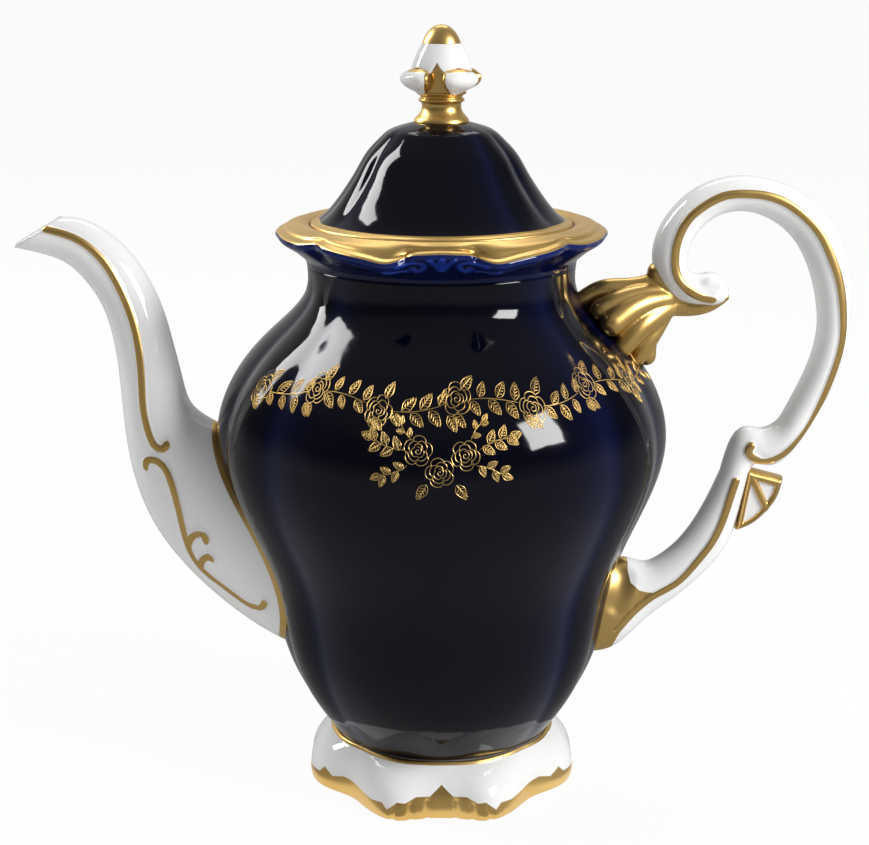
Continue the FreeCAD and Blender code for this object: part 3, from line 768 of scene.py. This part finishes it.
def make_gilding(name):
    """Satin gold all over."""
    material, tree = new_material(name)
    feed(tree, tree.nodes["Principled BSDF"], {
        "Base Color": gold_colour(tree),
        "Metallic": 1.0,
        "Roughness": noise(tree, *GOLD_ROUGHNESS),
        "Normal": glaze_bump(tree, GILDING_BUMP),
    })
    return material


def make_bare(name):
    """Unglazed white porcelain."""
    material, tree = new_material(name)
    feed(tree, tree.nodes["Principled BSDF"], {
        "Base Color": mixed(tree, noise(tree, *BARE_TINT), WHITE, WHITE_DEEP),
        "Roughness": noise(tree, *BARE_ROUGHNESS),
    })
    return material


COBALT_GLAZE = make_porcelain("cobalt_glaze", True)
WHITE_GLAZE = make_porcelain("white_glaze", False)
GILDING = make_gilding("gilding")
BARE_PORCELAIN = make_bare("bare_porcelain")


# Pieces of the pot

def add_belly():
    """Lobed hollow belly with white inside, and the strainer pierced behind the spout."""
    angle = turns(BELLY_COLUMNS)
    floor_z = FOOT_H + FLOOR
    rows = [(0, FOOT_H), (0.5 * belly_radius(angle, FOOT_H), FOOT_H)]
    rows += [(belly_radius(angle, z), z) for z in np.linspace(FOOT_H, NECK_Z, BELLY_ROWS)]
    outer = len(rows)
    rows += [(belly_radius(angle, z) - WALL, z) for z in np.linspace(NECK_Z, floor_z, BELLY_INNER_ROWS)]
    rows += [(share * (belly_radius(angle, floor_z) - WALL), floor_z) for share in BELLY_FLOOR_RINGS]
    white = np.ones((len(rows), len(angle)))
    white[2:outer] = -1.0
    # Painted sheen: the cobalt is painted lighter towards each crease
    thin = np.broadcast_to(BELLY_THIN_AND_SHEEN * lobes(angle) ** 3, white.shape)
    piece = make_grid("belly_glazed", rings(angle, rows), COBALT_GLAZE, white=white, thin=thin,
                      gold=np.full(white.shape, NO_GOLD))
    pierce(piece, strainer_bores())
    belong(piece, "pot", "belly")


def bore(start, end, radius):
    """Two rings of points round a straight line along X or Z."""
    run = np.array(end) - np.array(start)
    side = np.cross(run / norm(run), (0, 1, 0))
    turn = turns(BORE_SIDES, 2 * np.pi)[:, None]
    ring = radius * (np.cos(turn) * side + np.sin(turn) * np.array((0, 1, 0)))
    return [start + ring, end + ring]


def strainer_bores():
    """Holes of the strainer in staggered rows through the wall behind the spout."""
    bores = []
    for row in range(-STRAINER_ROWS, STRAINER_ROWS + 1):
        z = NECK_Z - STRAINER_DROP + row * STRAINER_PITCH
        count = 3 if row % 2 == 0 else 2
        for k in range(count):
            y = (k - (count - 1) / 2) * STRAINER_PITCH
            bores.append(bore((STRAINER_REACH[0], y, z), (STRAINER_REACH[1], y, z), STRAINER_HOLE_R))
    return bores


def pierce(piece, bores):
    """Cuts round holes, white inside, through a glazed piece."""
    points = np.concatenate(bores)
    faces = []
    for first in range(0, len(points) * BORE_SIDES, 2 * BORE_SIDES):
        faces += grid_faces(2, BORE_SIDES, first=first)
        faces += [[start + i for i in range(BORE_SIDES)] for start in (first, first + BORE_SIDES)]
    one = np.ones(points.shape[:2])
    drill = make_object("drill", points, faces, COBALT_GLAZE, white=one, thin=0 * one, gold=NO_GOLD * one)
    cut = piece.modifiers.new("holes", "BOOLEAN")
    cut.operation = "DIFFERENCE"
    cut.solver = "MANIFOLD"
    cut.object = drill
    apply_modifiers(piece)
    bpy.data.objects.remove(drill)


def collar_rows(angle):
    """Radius and height of the collar's rows, up the outside and down the inner side, and the edge's row."""
    flat = 0 * angle
    edge = quarter(COLLAR_EDGE, 1)(angle), NECK_Z + quarter(COLLAR_EDGE, 2)(angle)
    ridge = RIDGE_R + flat, RIDGE_TOP + flat
    slope = (edge[0] + ridge[0]) / 2, (edge[1] + ridge[1]) / 2
    bases = {"neck": (NECK_R + flat, NECK_Z + flat), "edge": edge, "slope": slope, "ridge": ridge}
    place = column(COLLAR_PROFILE, 0)
    fine = np.linspace(0, place[-1], COLLAR_ROWS)
    rows = []
    for axis in (0, 1):
        outer = [bases[base][axis] + offset[axis] for at, base, *offset in COLLAR_PROFILE]
        inner = [row[axis] + flat for row in COLLAR_INNER]
        rows.append(np.concatenate([smooth(place, outer)(fine), inner]))
    return rows[0], rows[1], np.argmin(np.abs(fine - COLLAR_EDGE_PLACE))


def shell_relief(turn, below):
    """Height of the shell relief from 0 to 1, by plan angle from its middle and way below the edge."""
    flat = np.stack([np.radians(turn) * NECK_R + 0 * below, below], -1).reshape(-1, 2)
    near = np.full(len(flat), np.inf)
    for line in SHELL_LINES:
        for side in (1, -1):
            near = np.minimum(near, distance(flat, path(line, 5 * len(line)) * np.array((side, 1))))
    return np.sqrt(np.clip(1 - (near.reshape(below.shape) / SHELL_HALF) ** 2, 0, None))


def add_collar():
    """Flared mouth ring with a wavy, gilded edge, shell relief in front and behind, and the lid's gallery."""
    angle = turns(RIM_COLUMNS)
    radius, height, edge_row = collar_rows(angle)
    run = np.hypot(np.diff(radius, axis=0), np.diff(height, axis=0))
    along = np.concatenate([0 * angle[None], np.cumsum(run, axis=0)])
    gold = along - (along[edge_row] + GILT_START)
    gold[COLLAR_ROWS + GILT_INNER_ROWS:] = NO_GOLD
    turn = (angle + 90) % 180 - 90
    below = along[edge_row] - along
    shell = shell_relief(turn, below)
    shell[COLLAR_ROWS:] = 0.0
    notch = (np.exp(-((np.abs(turn) - NOTCH_TURN) / NOTCH_HALF) ** 2)
             * np.exp(-((below + NOTCH_OVER) / NOTCH_RUN) ** 2))
    radius = radius + SHELL_HEIGHT * shell - NOTCH_DEPTH * notch
    # Painted light: the underside is painted lighter near the edge and on the shell's ridges, besides the
    # thin glaze there
    thin = np.clip(COLLAR_THIN_AND_SHEEN - below / COLLAR_SHEEN_RUN, COLLAR_SHEEN_LEAST, 1) + SHELL_THIN_AND_SHEEN * shell
    white = np.full(radius.shape, -1.0)
    white[COLLAR_ROWS + COBALT_INNER_ROWS:] = 1.0
    piece = make_grid("mouth_collar_glazed", polar(angle, radius, height), COBALT_GLAZE, True,
                      gold=gold, white=white, thin=np.clip(thin, 0, 1))
    belong(piece, "pot", "mouth_collar")


def add_foot():
    """Flared foot with a wavy edge, its lower band gilded under a stepped line, and a gold ring on top."""
    angle = turns(RIM_COLUMNS)
    edge = quarter(FOOT_EDGE, 1)(angle)
    top = belly_radius(angle, FOOT_H)
    folded = np.degrees(np.arcsin(np.abs(np.sin(np.radians(angle)))))
    gilt_top = np.interp(folded, column(FOOT_GILDING, 0), column(FOOT_GILDING, 1))
    place = column(FOOT_OUTLINE, 0)
    fine = np.linspace(0, place[-1], FOOT_ROWS)
    ring = 1 - np.abs(fine[:, None] - FOOT_RING) / FOOT_RING_HALF
    z = smooth(place, column(FOOT_OUTLINE, 2) * FOOT_H)(fine)[:, None] + 0 * angle
    z = z + FOOT_RING_RISE * np.sqrt(np.clip(ring, 0, 1))
    radius = top + (edge - top) * smooth(place, column(FOOT_OUTLINE, 1))(fine)[:, None]
    for flute in FOOT_FLUTES:
        groove = FLUTE_DEPTH * np.exp(-((folded - flute) / FLUTE_HALF) ** 2)
        radius -= groove * np.clip((gilt_top - z) / FLUTE_FADE, 0, 1)
    radius = np.concatenate([radius, [top + (edge - top) * share - wall for share, h, wall in FOOT_INNER]])
    z = np.concatenate([z, [h + 0 * angle for share, h, wall in FOOT_INNER]])
    gold = gilt_top - z
    gold[:FOOT_ROWS] = np.maximum(gold[:FOOT_ROWS], ring * FOOT_RING_HALF)
    gold[FOOT_ROWS:] = NO_GOLD_UNDER_FOOT
    piece = make_grid("pedestal_foot_glazed", polar(angle, radius, z), WHITE_GLAZE, True, gold=gold)
    belong(piece, "pot", "pedestal_foot")


def ovals(sections, grid, shrink=0.0):
    """Grid of points on ovals through sections given as two points of the XZ plane and a half width."""
    sections = np.array(sections, float)
    places = lengths((sections[:, 0:2] + sections[:, 2:4]) / 2)
    fine = smooth(places, sections)(np.linspace(0, places[-1], grid[0]))
    turn = turns(grid[1], 2 * np.pi)
    middle = (fine[:, 0:2] + fine[:, 2:4]) / 2
    reach = (fine[:, 0:2] - fine[:, 2:4]) / 2
    length = norm(reach, axis=1, keepdims=True)
    reach = reach * (length - shrink) / length
    x = middle[:, :1] + reach[:, :1] * np.cos(turn)
    z = middle[:, 1:] + reach[:, 1:] * np.cos(turn)
    y = (fine[:, 4:5] - shrink) * np.sin(turn)
    return np.stack([x, y, z], -1)


def trimmed(grid):
    """The grid with each column cut to start just under the belly's surface."""
    gap = outside_belly(grid) + BURY
    rows = np.arange(len(grid))
    cut = np.empty_like(grid)
    for c in range(grid.shape[1]):
        k = np.nonzero(gap[:, c] < 0)[0][-1]
        start = k + gap[k, c] / (gap[k, c] - gap[k + 1, c])
        for axis in range(3):
            cut[:, c, axis] = np.interp(np.linspace(start, rows[-1], len(rows)), rows, grid[:, c, axis])
    return cut


def round_end(grid, backward, steps):
    """Rows that close a tube with a rounded end, from its last ring or, backward, its first."""
    ring = grid[0] if backward else grid[-1]
    middle = ring.mean(axis=0)
    step = middle - (grid[1] if backward else grid[-2]).mean(axis=0)
    reach = norm(ring - middle, axis=1).mean() * step / norm(step)
    rows = [middle + (ring - middle) * math.cos(t) + reach * math.sin(t)
            for t in np.linspace(0, math.pi / 2, steps + 1)[1:]]
    return np.array(rows[::-1] if backward else rows)


def add_spout():
    """Hollow S-shaped spout on the belly, with raised gold lines and a gold edge at the joint."""
    outer = trimmed(ovals(SPOUT_SECTIONS, SPOUT_GRID))
    inner = trimmed(ovals(SPOUT_SECTIONS, SPOUT_GRID, SPOUT_WALL))
    lip = outer[-1] * 0.5 + inner[-1] * 0.5 + np.array(SPOUT_LIP)
    grid = np.concatenate([outer, lip[None], inner[::-1]])
    gold = SPOUT_JOINT - outside_belly(grid)
    gold[len(outer):] = NO_GOLD
    piece = make_grid("spout_glazed", grid, WHITE_GLAZE, True, gold=gold)
    lines = [on_surface(piece, line) for line in (SPOUT_LINE, SPOUT_SCROLL) + SPOUT_CURLS]
    raise_lines(piece, lines, LINE_HALF, BEAD_HEIGHT)
    belong(piece, "pot", "spout")


def add_handle_loop():
    """C-scroll from the elbow over the top to its volute, with a gold bead along both sides."""
    tube = ovals(LOOP_SECTIONS, LOOP_GRID)
    grid = np.concatenate([tube, round_end(tube, False, END_STEPS)])
    piece = make_grid("handle_loop_glazed", grid, WHITE_GLAZE)
    line = on_surface(piece, LOOP_LINE)
    groove = on_surface(piece, VOLUTE_GROOVE)
    raise_lines(piece, [groove], VOLUTE_HALF, -VOLUTE_DEPTH, gilded=False)
    raise_lines(piece, [line], LOOP_LINE_HALF, BEAD_HEIGHT)
    belong(piece, "pot", "handle_loop")


def add_lower_handle():
    """Lower arm and its root as one run, parted at their joint, with the gold bead and the gilded flare."""
    grid = trimmed(ovals(ARM_SECTIONS + ROOT_SECTIONS[1:], ARM_GRID)[::-1])
    gold = inside(grid.reshape(-1, 3)[:, [0, 2]], ROOT_GILDING)
    run = make_grid("lower_handle", grid, WHITE_GLAZE, gold=gold)
    raise_lines(run, [on_surface(run, ROOT_DISH)], ROOT_DISH_HALF, -ROOT_DISH_DEPTH, gilded=False)
    raise_lines(run, [on_surface(run, ARM_LINE)], LINE_HALF, BEAD_HEIGHT)
    points = (vertex_values(run, "co") / MM).reshape(grid.shape)
    run.data.attributes["gold"].data.foreach_get("value", gold)
    gold = gold.reshape(grid.shape[:2])
    bpy.data.objects.remove(run)
    joint = np.array(ROOT_SECTIONS[0])
    split = np.argmin(norm(grid.mean(axis=1)[:, [0, 2]] - (joint[0:2] + joint[2:4]) / 2, axis=1))
    arm = make_grid("handle_lower_arm_glazed", points[split:], WHITE_GLAZE, gold=gold[split:])
    belong(arm, "pot", "handle_lower_arm")
    root = make_grid("handle_lower_root_gilded", points[:split + 1], WHITE_GLAZE, gold=gold[:split + 1])
    belong(root, "pot", "handle_lower_root")


def finger(points):
    """Tapered round tube with rounded ends through points with a radius."""
    fine = path(points, FINGER_STEPS)
    run = unit(np.gradient(fine[:, :3], axis=0))
    side = unit(np.cross(run, FINGER_ASIDE))
    up = np.cross(side, run)
    turn = turns(FINGER_STEPS, 2 * np.pi)[:, None]
    tube = np.array([p[:3] + p[3] * (np.cos(turn) * s + np.sin(turn) * u) for p, s, u in zip(fine, side, up)])
    ends = [round_end(tube, backward, FINGER_END_STEPS) for backward in (True, False)]
    return np.concatenate([ends[0], tube, ends[1]])


def merged(name, grids, material):
    """One smooth closed mesh round overlapping grids."""
    faces = []
    first = 0
    for grid in grids:
        faces += grid_faces(*grid.shape[:2], first=first)
        first += grid.shape[0] * grid.shape[1]
    piece = make_object(name, np.concatenate([grid.reshape(-1, 3) for grid in grids]), faces, material)
    remesh = piece.modifiers.new("remesh", "REMESH")
    remesh.mode = "VOXEL"
    remesh.voxel_size = LEAF_VOXEL * MM
    soften = piece.modifiers.new("soften", "SMOOTH")
    soften.factor = 0.5
    soften.iterations = LEAF_PASSES
    apply_modifiers(piece)
    piece.data.shade_smooth()
    return piece


def add_leaf():
    """Gilded acanthus leaf that carries the scroll on the shoulder."""
    fingers = []
    for points in LEAF_FINGERS:
        fingers.append(finger(points))
        if any(point[1] for point in points):
            fingers.append(finger([(x, -y, z, r) for x, y, z, r in points]))
    piece = merged("handle_upper_leaf_gilded", fingers, GILDING)
    belong(piece, "pot", "handle_upper_leaf")


def add_fan():
    """Small fan behind the elbow: two sunk white fields between rounded gold ribs and a gold rim."""
    rim = path(FAN_RIM, FAN_COLUMNS)
    hub = np.array(FAN_HUB)
    flat = hub + np.linspace(FAN_START, 1, FAN_ROWS)[:, None, None] * (rim - hub)
    across = np.linspace(0, 1, FAN_COLUMNS)
    reach = norm(flat - hub, axis=2)
    side_gap = np.minimum(across, 1 - across) * FAN_TURN * reach
    border = np.minimum(side_gap, norm(rim - hub, axis=1) - reach)
    middle = np.abs(across - 0.5) * FAN_TURN * reach
    gold = np.maximum(FAN_BORDER - border, FAN_RIB_HALF - middle)
    bead = np.maximum(1 - (2 * border / FAN_BORDER - 1) ** 2, 1 - (middle / FAN_RIB_HALF) ** 2)
    round_off = np.sqrt(1 - (1 - np.minimum(border / FAN_ROUND, 1)) ** 2)
    thick = FAN_FIELD * (FAN_EDGE + (1 - FAN_EDGE) * round_off) + FAN_RELIEF * np.sqrt(np.clip(bead, 0, 1))
    front, back = [np.stack([flat[..., 0], side * thick, flat[..., 1]], -1) for side in (-1, 1)]
    grid = np.concatenate([front, back[::-1]])
    faces = grid_faces(len(grid), FAN_COLUMNS, closed_rows=True, closed_columns=False)
    last = len(grid) - 1
    for edge in (0, FAN_COLUMNS - 1):
        faces += [[row * FAN_COLUMNS + edge for row in (r, r + 1, last - 1 - r, last - r)]
                  for r in range(FAN_ROWS - 1)]
    gold = np.concatenate([gold, gold[::-1]])
    piece = make_object("handle_fan_glazed", grid, faces, WHITE_GLAZE, gold=gold)
    belong(piece, "pot", "handle_fan")


# Printed garland

def on_belly(local, angle, z, lift):
    """Points in millimetres along and up the belly's surface, laid on it round a plan angle and height."""
    height = z + local[..., 1]
    around = angle + np.degrees(local[..., 0] / belly_line(z))
    return polar(around, belly_radius(around, height) + lift, height)


def stroke(line):
    """Left and right edge of a pen stroke along a smooth line that thins out at both ends."""
    fine = path(line, 5 * len(line))
    run = unit(np.gradient(fine, axis=0))
    across = np.stack([-run[:, 1], run[:, 0]], -1)
    swell = np.sin(np.linspace(PRINT_TAPER, np.pi - PRINT_TAPER, len(fine)))
    width = PRINT_HALF * np.sqrt(np.clip(swell, 0, 1))[:, None]
    return fine - across * width, fine + across * width


def turned_by(points, degrees):
    c, s = math.cos(math.radians(degrees)), math.sin(math.radians(degrees))
    return np.array(points) @ np.array(((c, s), (-s, c)))


def rose(radius, turn):
    """Strokes of an open rose: rings of cupped petals round a small spiral."""
    lines = []
    for ring, (share, petals, span) in enumerate(ROSE_RINGS):
        for k in range(petals):
            middle = turn + ROSE_RING_TURN * ring + k * 360 / petals
            angles = np.radians(middle + span * np.linspace(-0.5, 0.5, len(ROSE_PETAL)))
            reach = radius * share * np.array(ROSE_PETAL)
            lines.append(np.stack([reach * np.cos(angles), reach * np.sin(angles)], -1))
    step, end, count = ROSE_SPIRAL
    spiral = np.linspace(0, end, count)
    reach = step * radius * (1 + spiral)
    lines.append(np.stack([reach * np.cos(spiral), reach * np.sin(spiral)], -1))
    return lines


def leaf(length, turn):
    """Strokes of a pointed leaf with a midrib and slanting veins, growing from the origin."""
    half = LEAF_HALF * length
    lines = [[(0, 0), (0.5 * length, 0.02 * length), (0.94 * length, 0)]]
    for side in (-1, 1):
        edge = [(0, 0), (0.3 * length, side * half), (0.7 * length, 0.72 * side * half), (length, 0)]
        lines.insert(0, edge)
    for share in LEAF_VEINS:
        for side in (-1, 1):
            lines.append([(share * length, 0), ((share + 0.1) * length, 0.42 * side * half),
                          ((share + 0.17) * length, 0.8 * side * half * (1.1 - 0.6 * share))])
    return [turned_by(line, turn) for line in lines]


def twig(count, length, turn):
    """Strokes of a twig with leaves on both sides and one at its end."""
    lines = [np.array([(0, 0), (0.5 * length, 0.08 * length), (length, 0)])]
    for k in range(count):
        root = np.array(((k + 0.6) / count * length, 0.06 * length))
        lines += [line + root for line in leaf(TWIG_LEAF * length, TWIG_SLANT if k % 2 else -TWIG_SLANT)]
    lines += [line + np.array((length, 0)) for line in leaf(TWIG_LEAF * length, 0)]
    return [turned_by(line, turn) for line in lines]


def vine_height(angle):
    return VINE_Z + VINE_RISE * math.sin(math.radians(angle) * 360 / VINE_WAVE)


def vine_motifs():
    """Roses, stem and leaves along the vine, each as plan angle, height and strokes."""
    chance = np.random.default_rng(GARLAND_SEED)

    def drawn(least, more):
        return least + more * chance.random()

    motifs = []
    for k in range(-VINE_ROSES, VINE_ROSES + 1):
        middle = k * VINE_WAVE / 2 + VINE_START
        height = vine_height(middle)
        motifs.append((middle, height + VINE_ROSE_SWAY * (-1) ** k, rose(drawn(*VINE_ROSE_R), drawn(0, 360))))
        stem = [(x, vine_height(middle + math.degrees(x / belly_line(VINE_Z))) - height)
                for x in np.linspace(*VINE_STEM)]
        motifs.append((middle, height, [stem]))
        for step in range(VINE_LEAVES):
            angle = middle - 1 + VINE_LEAF_STEP * step
            up = 1 if step % 2 else -1
            slant = up * drawn(*VINE_SLANT)
            gap = ROSE_GAP if step in ROSE_GAP_STEPS else VINE_GAP
            motifs.append((angle, vine_height(angle) + up * gap, leaf(drawn(*VINE_LEAF), slant)))
    return motifs


def cluster_motifs():
    """Three roses with twigs and leaves, each as plan angle, height and strokes."""
    motifs = [(angle, CLUSTER_Z + rise, rose(CLUSTER_ROSE_R, turn)) for angle, rise, turn in CLUSTER_ROSES]
    for side in (-1, 1):
        for angle, rise, count, length, slant in CLUSTER_TWIGS:
            motifs.append((side * angle, CLUSTER_Z + rise, twig(count, length, 90 - side * slant)))
        angle, rise, length, slant = CLUSTER_LEAF
        motifs.append((side * angle, CLUSTER_Z + rise, leaf(length, -90 + side * slant)))
    return motifs


def add_garland():
    """Gold line print: roses on a leafy vine round the shoulder, with a cluster in front and behind."""
    motifs = vine_motifs() + cluster_motifs()
    strokes = [(stroke(line), angle + back, z)
               for back in (0.0, 180.0) for angle, z, lines in motifs for line in lines]
    points = []
    faces = []
    first = 0
    for (left, right), angle, z in strokes:
        corners = ((left, -PRINT_SINK), (left, PRINT_LIFT), (right, PRINT_LIFT), (right, -PRINT_SINK))
        grid = np.stack([on_belly(edge, angle, z, lift) for edge, lift in corners], 1)
        faces += grid_faces(len(grid), 4, first=first)
        faces += [[first + k for k in range(4)], [first + 4 * len(grid) - 1 - k for k in range(4)]]
        first += 4 * len(grid)
        points.append(grid)
    piece = make_object("garland_gilding", np.concatenate(points), faces, GILDING)
    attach(piece, "pot")


# Pieces of the lid

def add_lid():
    """Lobed bell of the lid, white inside, with a gold line on its rim and the vent pierced behind."""
    angle = turns(LID_COLUMNS)
    rise = LID_TOP - LID_RIM_TOP
    line = smooth(column(LID_OUTLINE, 0), LID_NECK_R + column(LID_OUTLINE, 1) * (LID_EDGE_R - LID_NECK_R))
    crease = smooth(column(LID_OUTLINE, 0), column(LID_OUTLINE, 2) * CREASE_DEPTH)
    rows = list(LID_RIM_OUTLINE)
    for share in np.linspace(0, 1, LID_ROWS):
        rows.append((line(share) - crease(share) * lobes(angle - LID_TURN), LID_RIM_TOP + share * rise))
    rows.append((0, LID_TOP))
    outer = len(rows)
    inner = [(line(share) - LID_WALL, LID_RIM_TOP + share * rise - LID_WALL_DROP)
             for share in np.linspace(*LID_INNER_SPAN, LID_INNER_ROWS)]
    rows += [(0, inner[0][1])] + inner
    gold = np.full((len(rows), len(angle)), NO_GOLD_UNDER_LID)
    gold[1:6] = LID_GILT
    gold[6:12] = (LID_GILT_TOP - LID_GILT_FADE * np.arange(6))[:, None]
    white = np.full(gold.shape, -1.0)
    white[outer:] = 1.0
    white[0] = 1.0
    # Painted sheen: the lid's cobalt is painted lighter towards each crease
    thin = np.broadcast_to(LID_THIN_AND_SHEEN * lobes(angle - LID_TURN) ** 3, gold.shape)
    piece = make_grid("lid_dome_glazed", rings(angle, rows), COBALT_GLAZE, True,
                      gold=gold, white=white, thin=thin)
    vent_y = VENT_SHARE * LID_EDGE_R
    pierce(piece, [bore((0, vent_y, LID_RIM_TOP), (0, vent_y, LID_TOP), VENT_R)])
    belong(piece, "lid", "lid_dome")


def add_turned(name, outline, node):
    """Gilded piece of the knob, turned from an outline of radius and height."""
    fine = path(outline, TURNED_ROWS)
    rows = [(0, fine[0, 1])] + [(max(r, 0.0), z) for r, z in fine] + [(0, fine[-1, 1])]
    piece = make_grid(name, rings(turns(TURNED_COLUMNS), rows), GILDING)
    belong(piece, "lid", node)


def add_knob():
    """Knob of the lid: gilded stem, four white leaves with gold edges, white bud and gilded tip."""
    add_turned("knob_stem_gilded", [(r, LID_TOP + z) for r, z in STEM_OUTLINE], "knob_stem")
    tip = [(r, BUD_TOP + z * (TIP_TOP - BUD_TOP)) for r, z in TIP_OUTLINE]
    add_turned("knob_tip_gilded", tip, "knob_tip")
    add_bud()
    add_petals()


def add_bud():
    """White bell of the bud with a pointed skirt over a gilded core."""
    angle = turns(BUD_COLUMNS)
    offset = np.abs((angle - LID_TURN + 45) % 90 - 45)
    skirt = STEM_TOP + np.interp(offset, column(BUD_SKIRT, 0), column(BUD_SKIRT, 1))
    bell = smooth(column(BUD_OUTLINE, 1), column(BUD_OUTLINE, 0))
    z = np.linspace(STEM_TOP, BUD_TOP, BUD_ROWS)[:, None] + 0 * angle
    over = np.clip((z - skirt) / SKIRT_SOFT, 0, 1)
    radius = BUD_CORE_R + (bell(z - STEM_TOP) - BUD_CORE_R) * over * over * (3 - 2 * over)
    points = polar(angle, radius, z)
    points = np.concatenate([points[:1] * np.array((0, 0, 1)), points, points[-1:] * np.array((0, 0, 1))])
    gold = np.concatenate([[skirt * 0 - NO_GOLD], skirt - z + SKIRT_GILT, [skirt * 0 + NO_GOLD]])
    piece = make_grid("knob_bud_glazed", points, WHITE_GLAZE, gold=gold)
    belong(piece, "lid", "knob_bud")


def add_petals():
    """Four bulging leaves round the knob, white with gold upper edges."""
    across = np.linspace(-1, 1, PETAL_STEPS)
    up = np.linspace(0, 1, PETAL_STEPS)[:, None]
    reach, height, spread = [smooth(column(PETAL_OUTLINE, 0), column(PETAL_OUTLINE, k))(up)
                             for k in (1, 2, 3)]
    height = STEM_TOP + height
    edge = np.maximum(PETAL_LENGTH * (up - PETAL_GILT_TOP), PETAL_HALF * (np.abs(across) - PETAL_GILT_SIDE))
    sheet = np.arange(PETAL_STEPS ** 2).reshape(PETAL_STEPS, PETAL_STEPS)
    border = np.concatenate([sheet[0], sheet[1:, -1], sheet[-1, -2::-1], sheet[-2:0:-1, 0]]).tolist()
    points = []
    faces = []
    for k in range(4):
        angle = 45.0 + LID_TURN + 90.0 * k + spread * across
        front = len(points) * sheet.size
        back = front + sheet.size
        points += [polar(angle, reach - PETAL_CURL * across ** 4, height),
                   polar(angle, np.minimum(reach - PETAL_WALL, BUD_CORE_R - PETAL_SINK), height)]
        for first in (front, back):
            faces += grid_faces(PETAL_STEPS, PETAL_STEPS, closed_columns=False, first=first)
        faces += [[front + a, front + b, back + b, back + a] for a, b in zip(border, border[1:] + border[:1])]
    gold = np.array(len(points) * [edge])
    piece = make_object("knob_petals_glazed", np.array(points), faces, WHITE_GLAZE, gold=gold)
    belong(piece, "lid", "knob_petals")


def keep_flange():
    """The ring under the lid keeps its solid and gets the bare white finish."""
    flange = frame["nodes"]["lid_flange"]
    flange.data.materials.clear()
    flange.data.materials.append(BARE_PORCELAIN)


# Studio

def show(tree, shader):
    tree.links.new(shader.outputs[0], tree.nodes["Material Output"].inputs["Surface"])


def seen_directly(tree, share):
    """A share for camera, glossy and transmission rays, and 0 for the rest."""
    rays = node_of(tree, "ShaderNodeLightPath").outputs
    seen = rays["Is Camera Ray"]
    for ray in ("Is Glossy Ray", "Is Transmission Ray"):
        seen = math_of(tree, "MAXIMUM", seen, rays[ray])
    return math_of(tree, "MULTIPLY", seen, share)


def add_floor():
    """Pale floor that stays white to the camera but keeps the shadow."""
    mesh = bpy.data.meshes.new("floor")
    corners = [(FLOOR_HALF * x, FLOOR_HALF * y, 0) for x, y in ((-1, -1), (1, -1), (1, 1), (-1, 1))]
    mesh.from_pydata(corners, [], [(0, 1, 2, 3)])
    floor = bpy.data.objects.new("floor", mesh)
    COLLECTION.link(floor)
    material, tree = new_material("floor_paper")
    paper = node_of(tree, "ShaderNodeBsdfDiffuse", {"Color": PAPER}).outputs[0]
    white = node_of(tree, "ShaderNodeEmission", {"Strength": 1.0}).outputs[0]
    show(tree, node_of(tree, "ShaderNodeMixShader", {0: seen_directly(tree, FLOOR_SEEN), 1: paper, 2: white}))
    mesh.materials.append(material)


def make_drape():
    """Glow that changes with the height and grows behind the pot."""
    material, tree = new_material("drape")
    position = node_of(tree, "ShaderNodeNewGeometry").outputs["Position"]
    place = node_of(tree, "ShaderNodeSeparateXYZ", {0: position}).outputs
    back = ranged(tree, place["Y"], *DRAPE_BACK, steps="SMOOTHSTEP")
    levels = node_of(tree, "ShaderNodeValToRGB", {"Fac": ranged(tree, place["Z"], 0.0, DRAPE_TOP * MM)})
    stops = levels.color_ramp.elements
    for share, level in DRAPE_LEVELS[1:-1]:
        stops.new(share)
    for stop, (share, level) in zip(stops, DRAPE_LEVELS):
        stop.position = share
        stop.color = (level, level, level, 1)
    brightness = math_of(tree, "MAXIMUM", levels.outputs["Color"], back)
    show(tree, node_of(tree, "ShaderNodeEmission", {"Strength": brightness}))
    return material


def add_surround():
    """Dark drapes round the set that only reflections see, darker in front and paler behind."""
    drape = make_grid("surround", rings(turns(DRAPE_COLUMNS), DRAPE_OUTLINE), make_drape())
    for ray in ("camera", "diffuse", "shadow", "transmission", "volume_scatter"):
        setattr(drape, "visible_" + ray, False)


def add_world():
    """White sky, full for what sees it directly and faint as a fill light."""
    world = bpy.data.worlds.new("studio")
    bpy.context.scene.world = world
    world.use_nodes = True
    tree = world.node_tree
    strength = math_of(tree, "MAXIMUM", seen_directly(tree, SKY_SEEN), SKY_FILL)
    feed(tree, tree.nodes["Background"], {"Color": (1, 1, 1, 1), "Strength": strength})


def add_softbox(name, place, size, power):
    """Area light at a place in metres that faces the middle of the pot."""
    light = bpy.data.lights.new(name, "AREA")
    light.shape = "RECTANGLE"
    light.size, light.size_y = size
    light.energy = power
    lamp = bpy.data.objects.new(name, light)
    lamp.location = place
    lamp.rotation_euler = (Vector(LAMP_AIM) - Vector(place)).to_track_quat("-Z", "Y").to_euler()
    COLLECTION.link(lamp)


def add_camera():
    camera = bpy.data.cameras.new("camera")
    camera.lens = CAMERA_LENS
    camera.sensor_width = CAMERA_SENSOR
    camera.shift_x = CAMERA_SHIFT_X
    view = bpy.data.objects.new("camera", camera)
    view.location = Vector(CAMERA_PLACE) * MM
    view.rotation_euler = (math.radians(90 - CAMERA_PITCH), 0, 0)
    COLLECTION.link(view)
    bpy.context.scene.camera = view


add_belly()
add_collar()
add_foot()
add_spout()
add_handle_loop()
add_lower_handle()
add_leaf()
add_fan()
add_garland()
add_lid()
add_knob()
keep_flange()
add_floor()
add_surround()
add_world()
for lamp in LAMPS:
    add_softbox(*lamp)
add_camera()
bpy.context.scene.view_settings.view_transform = "Standard"
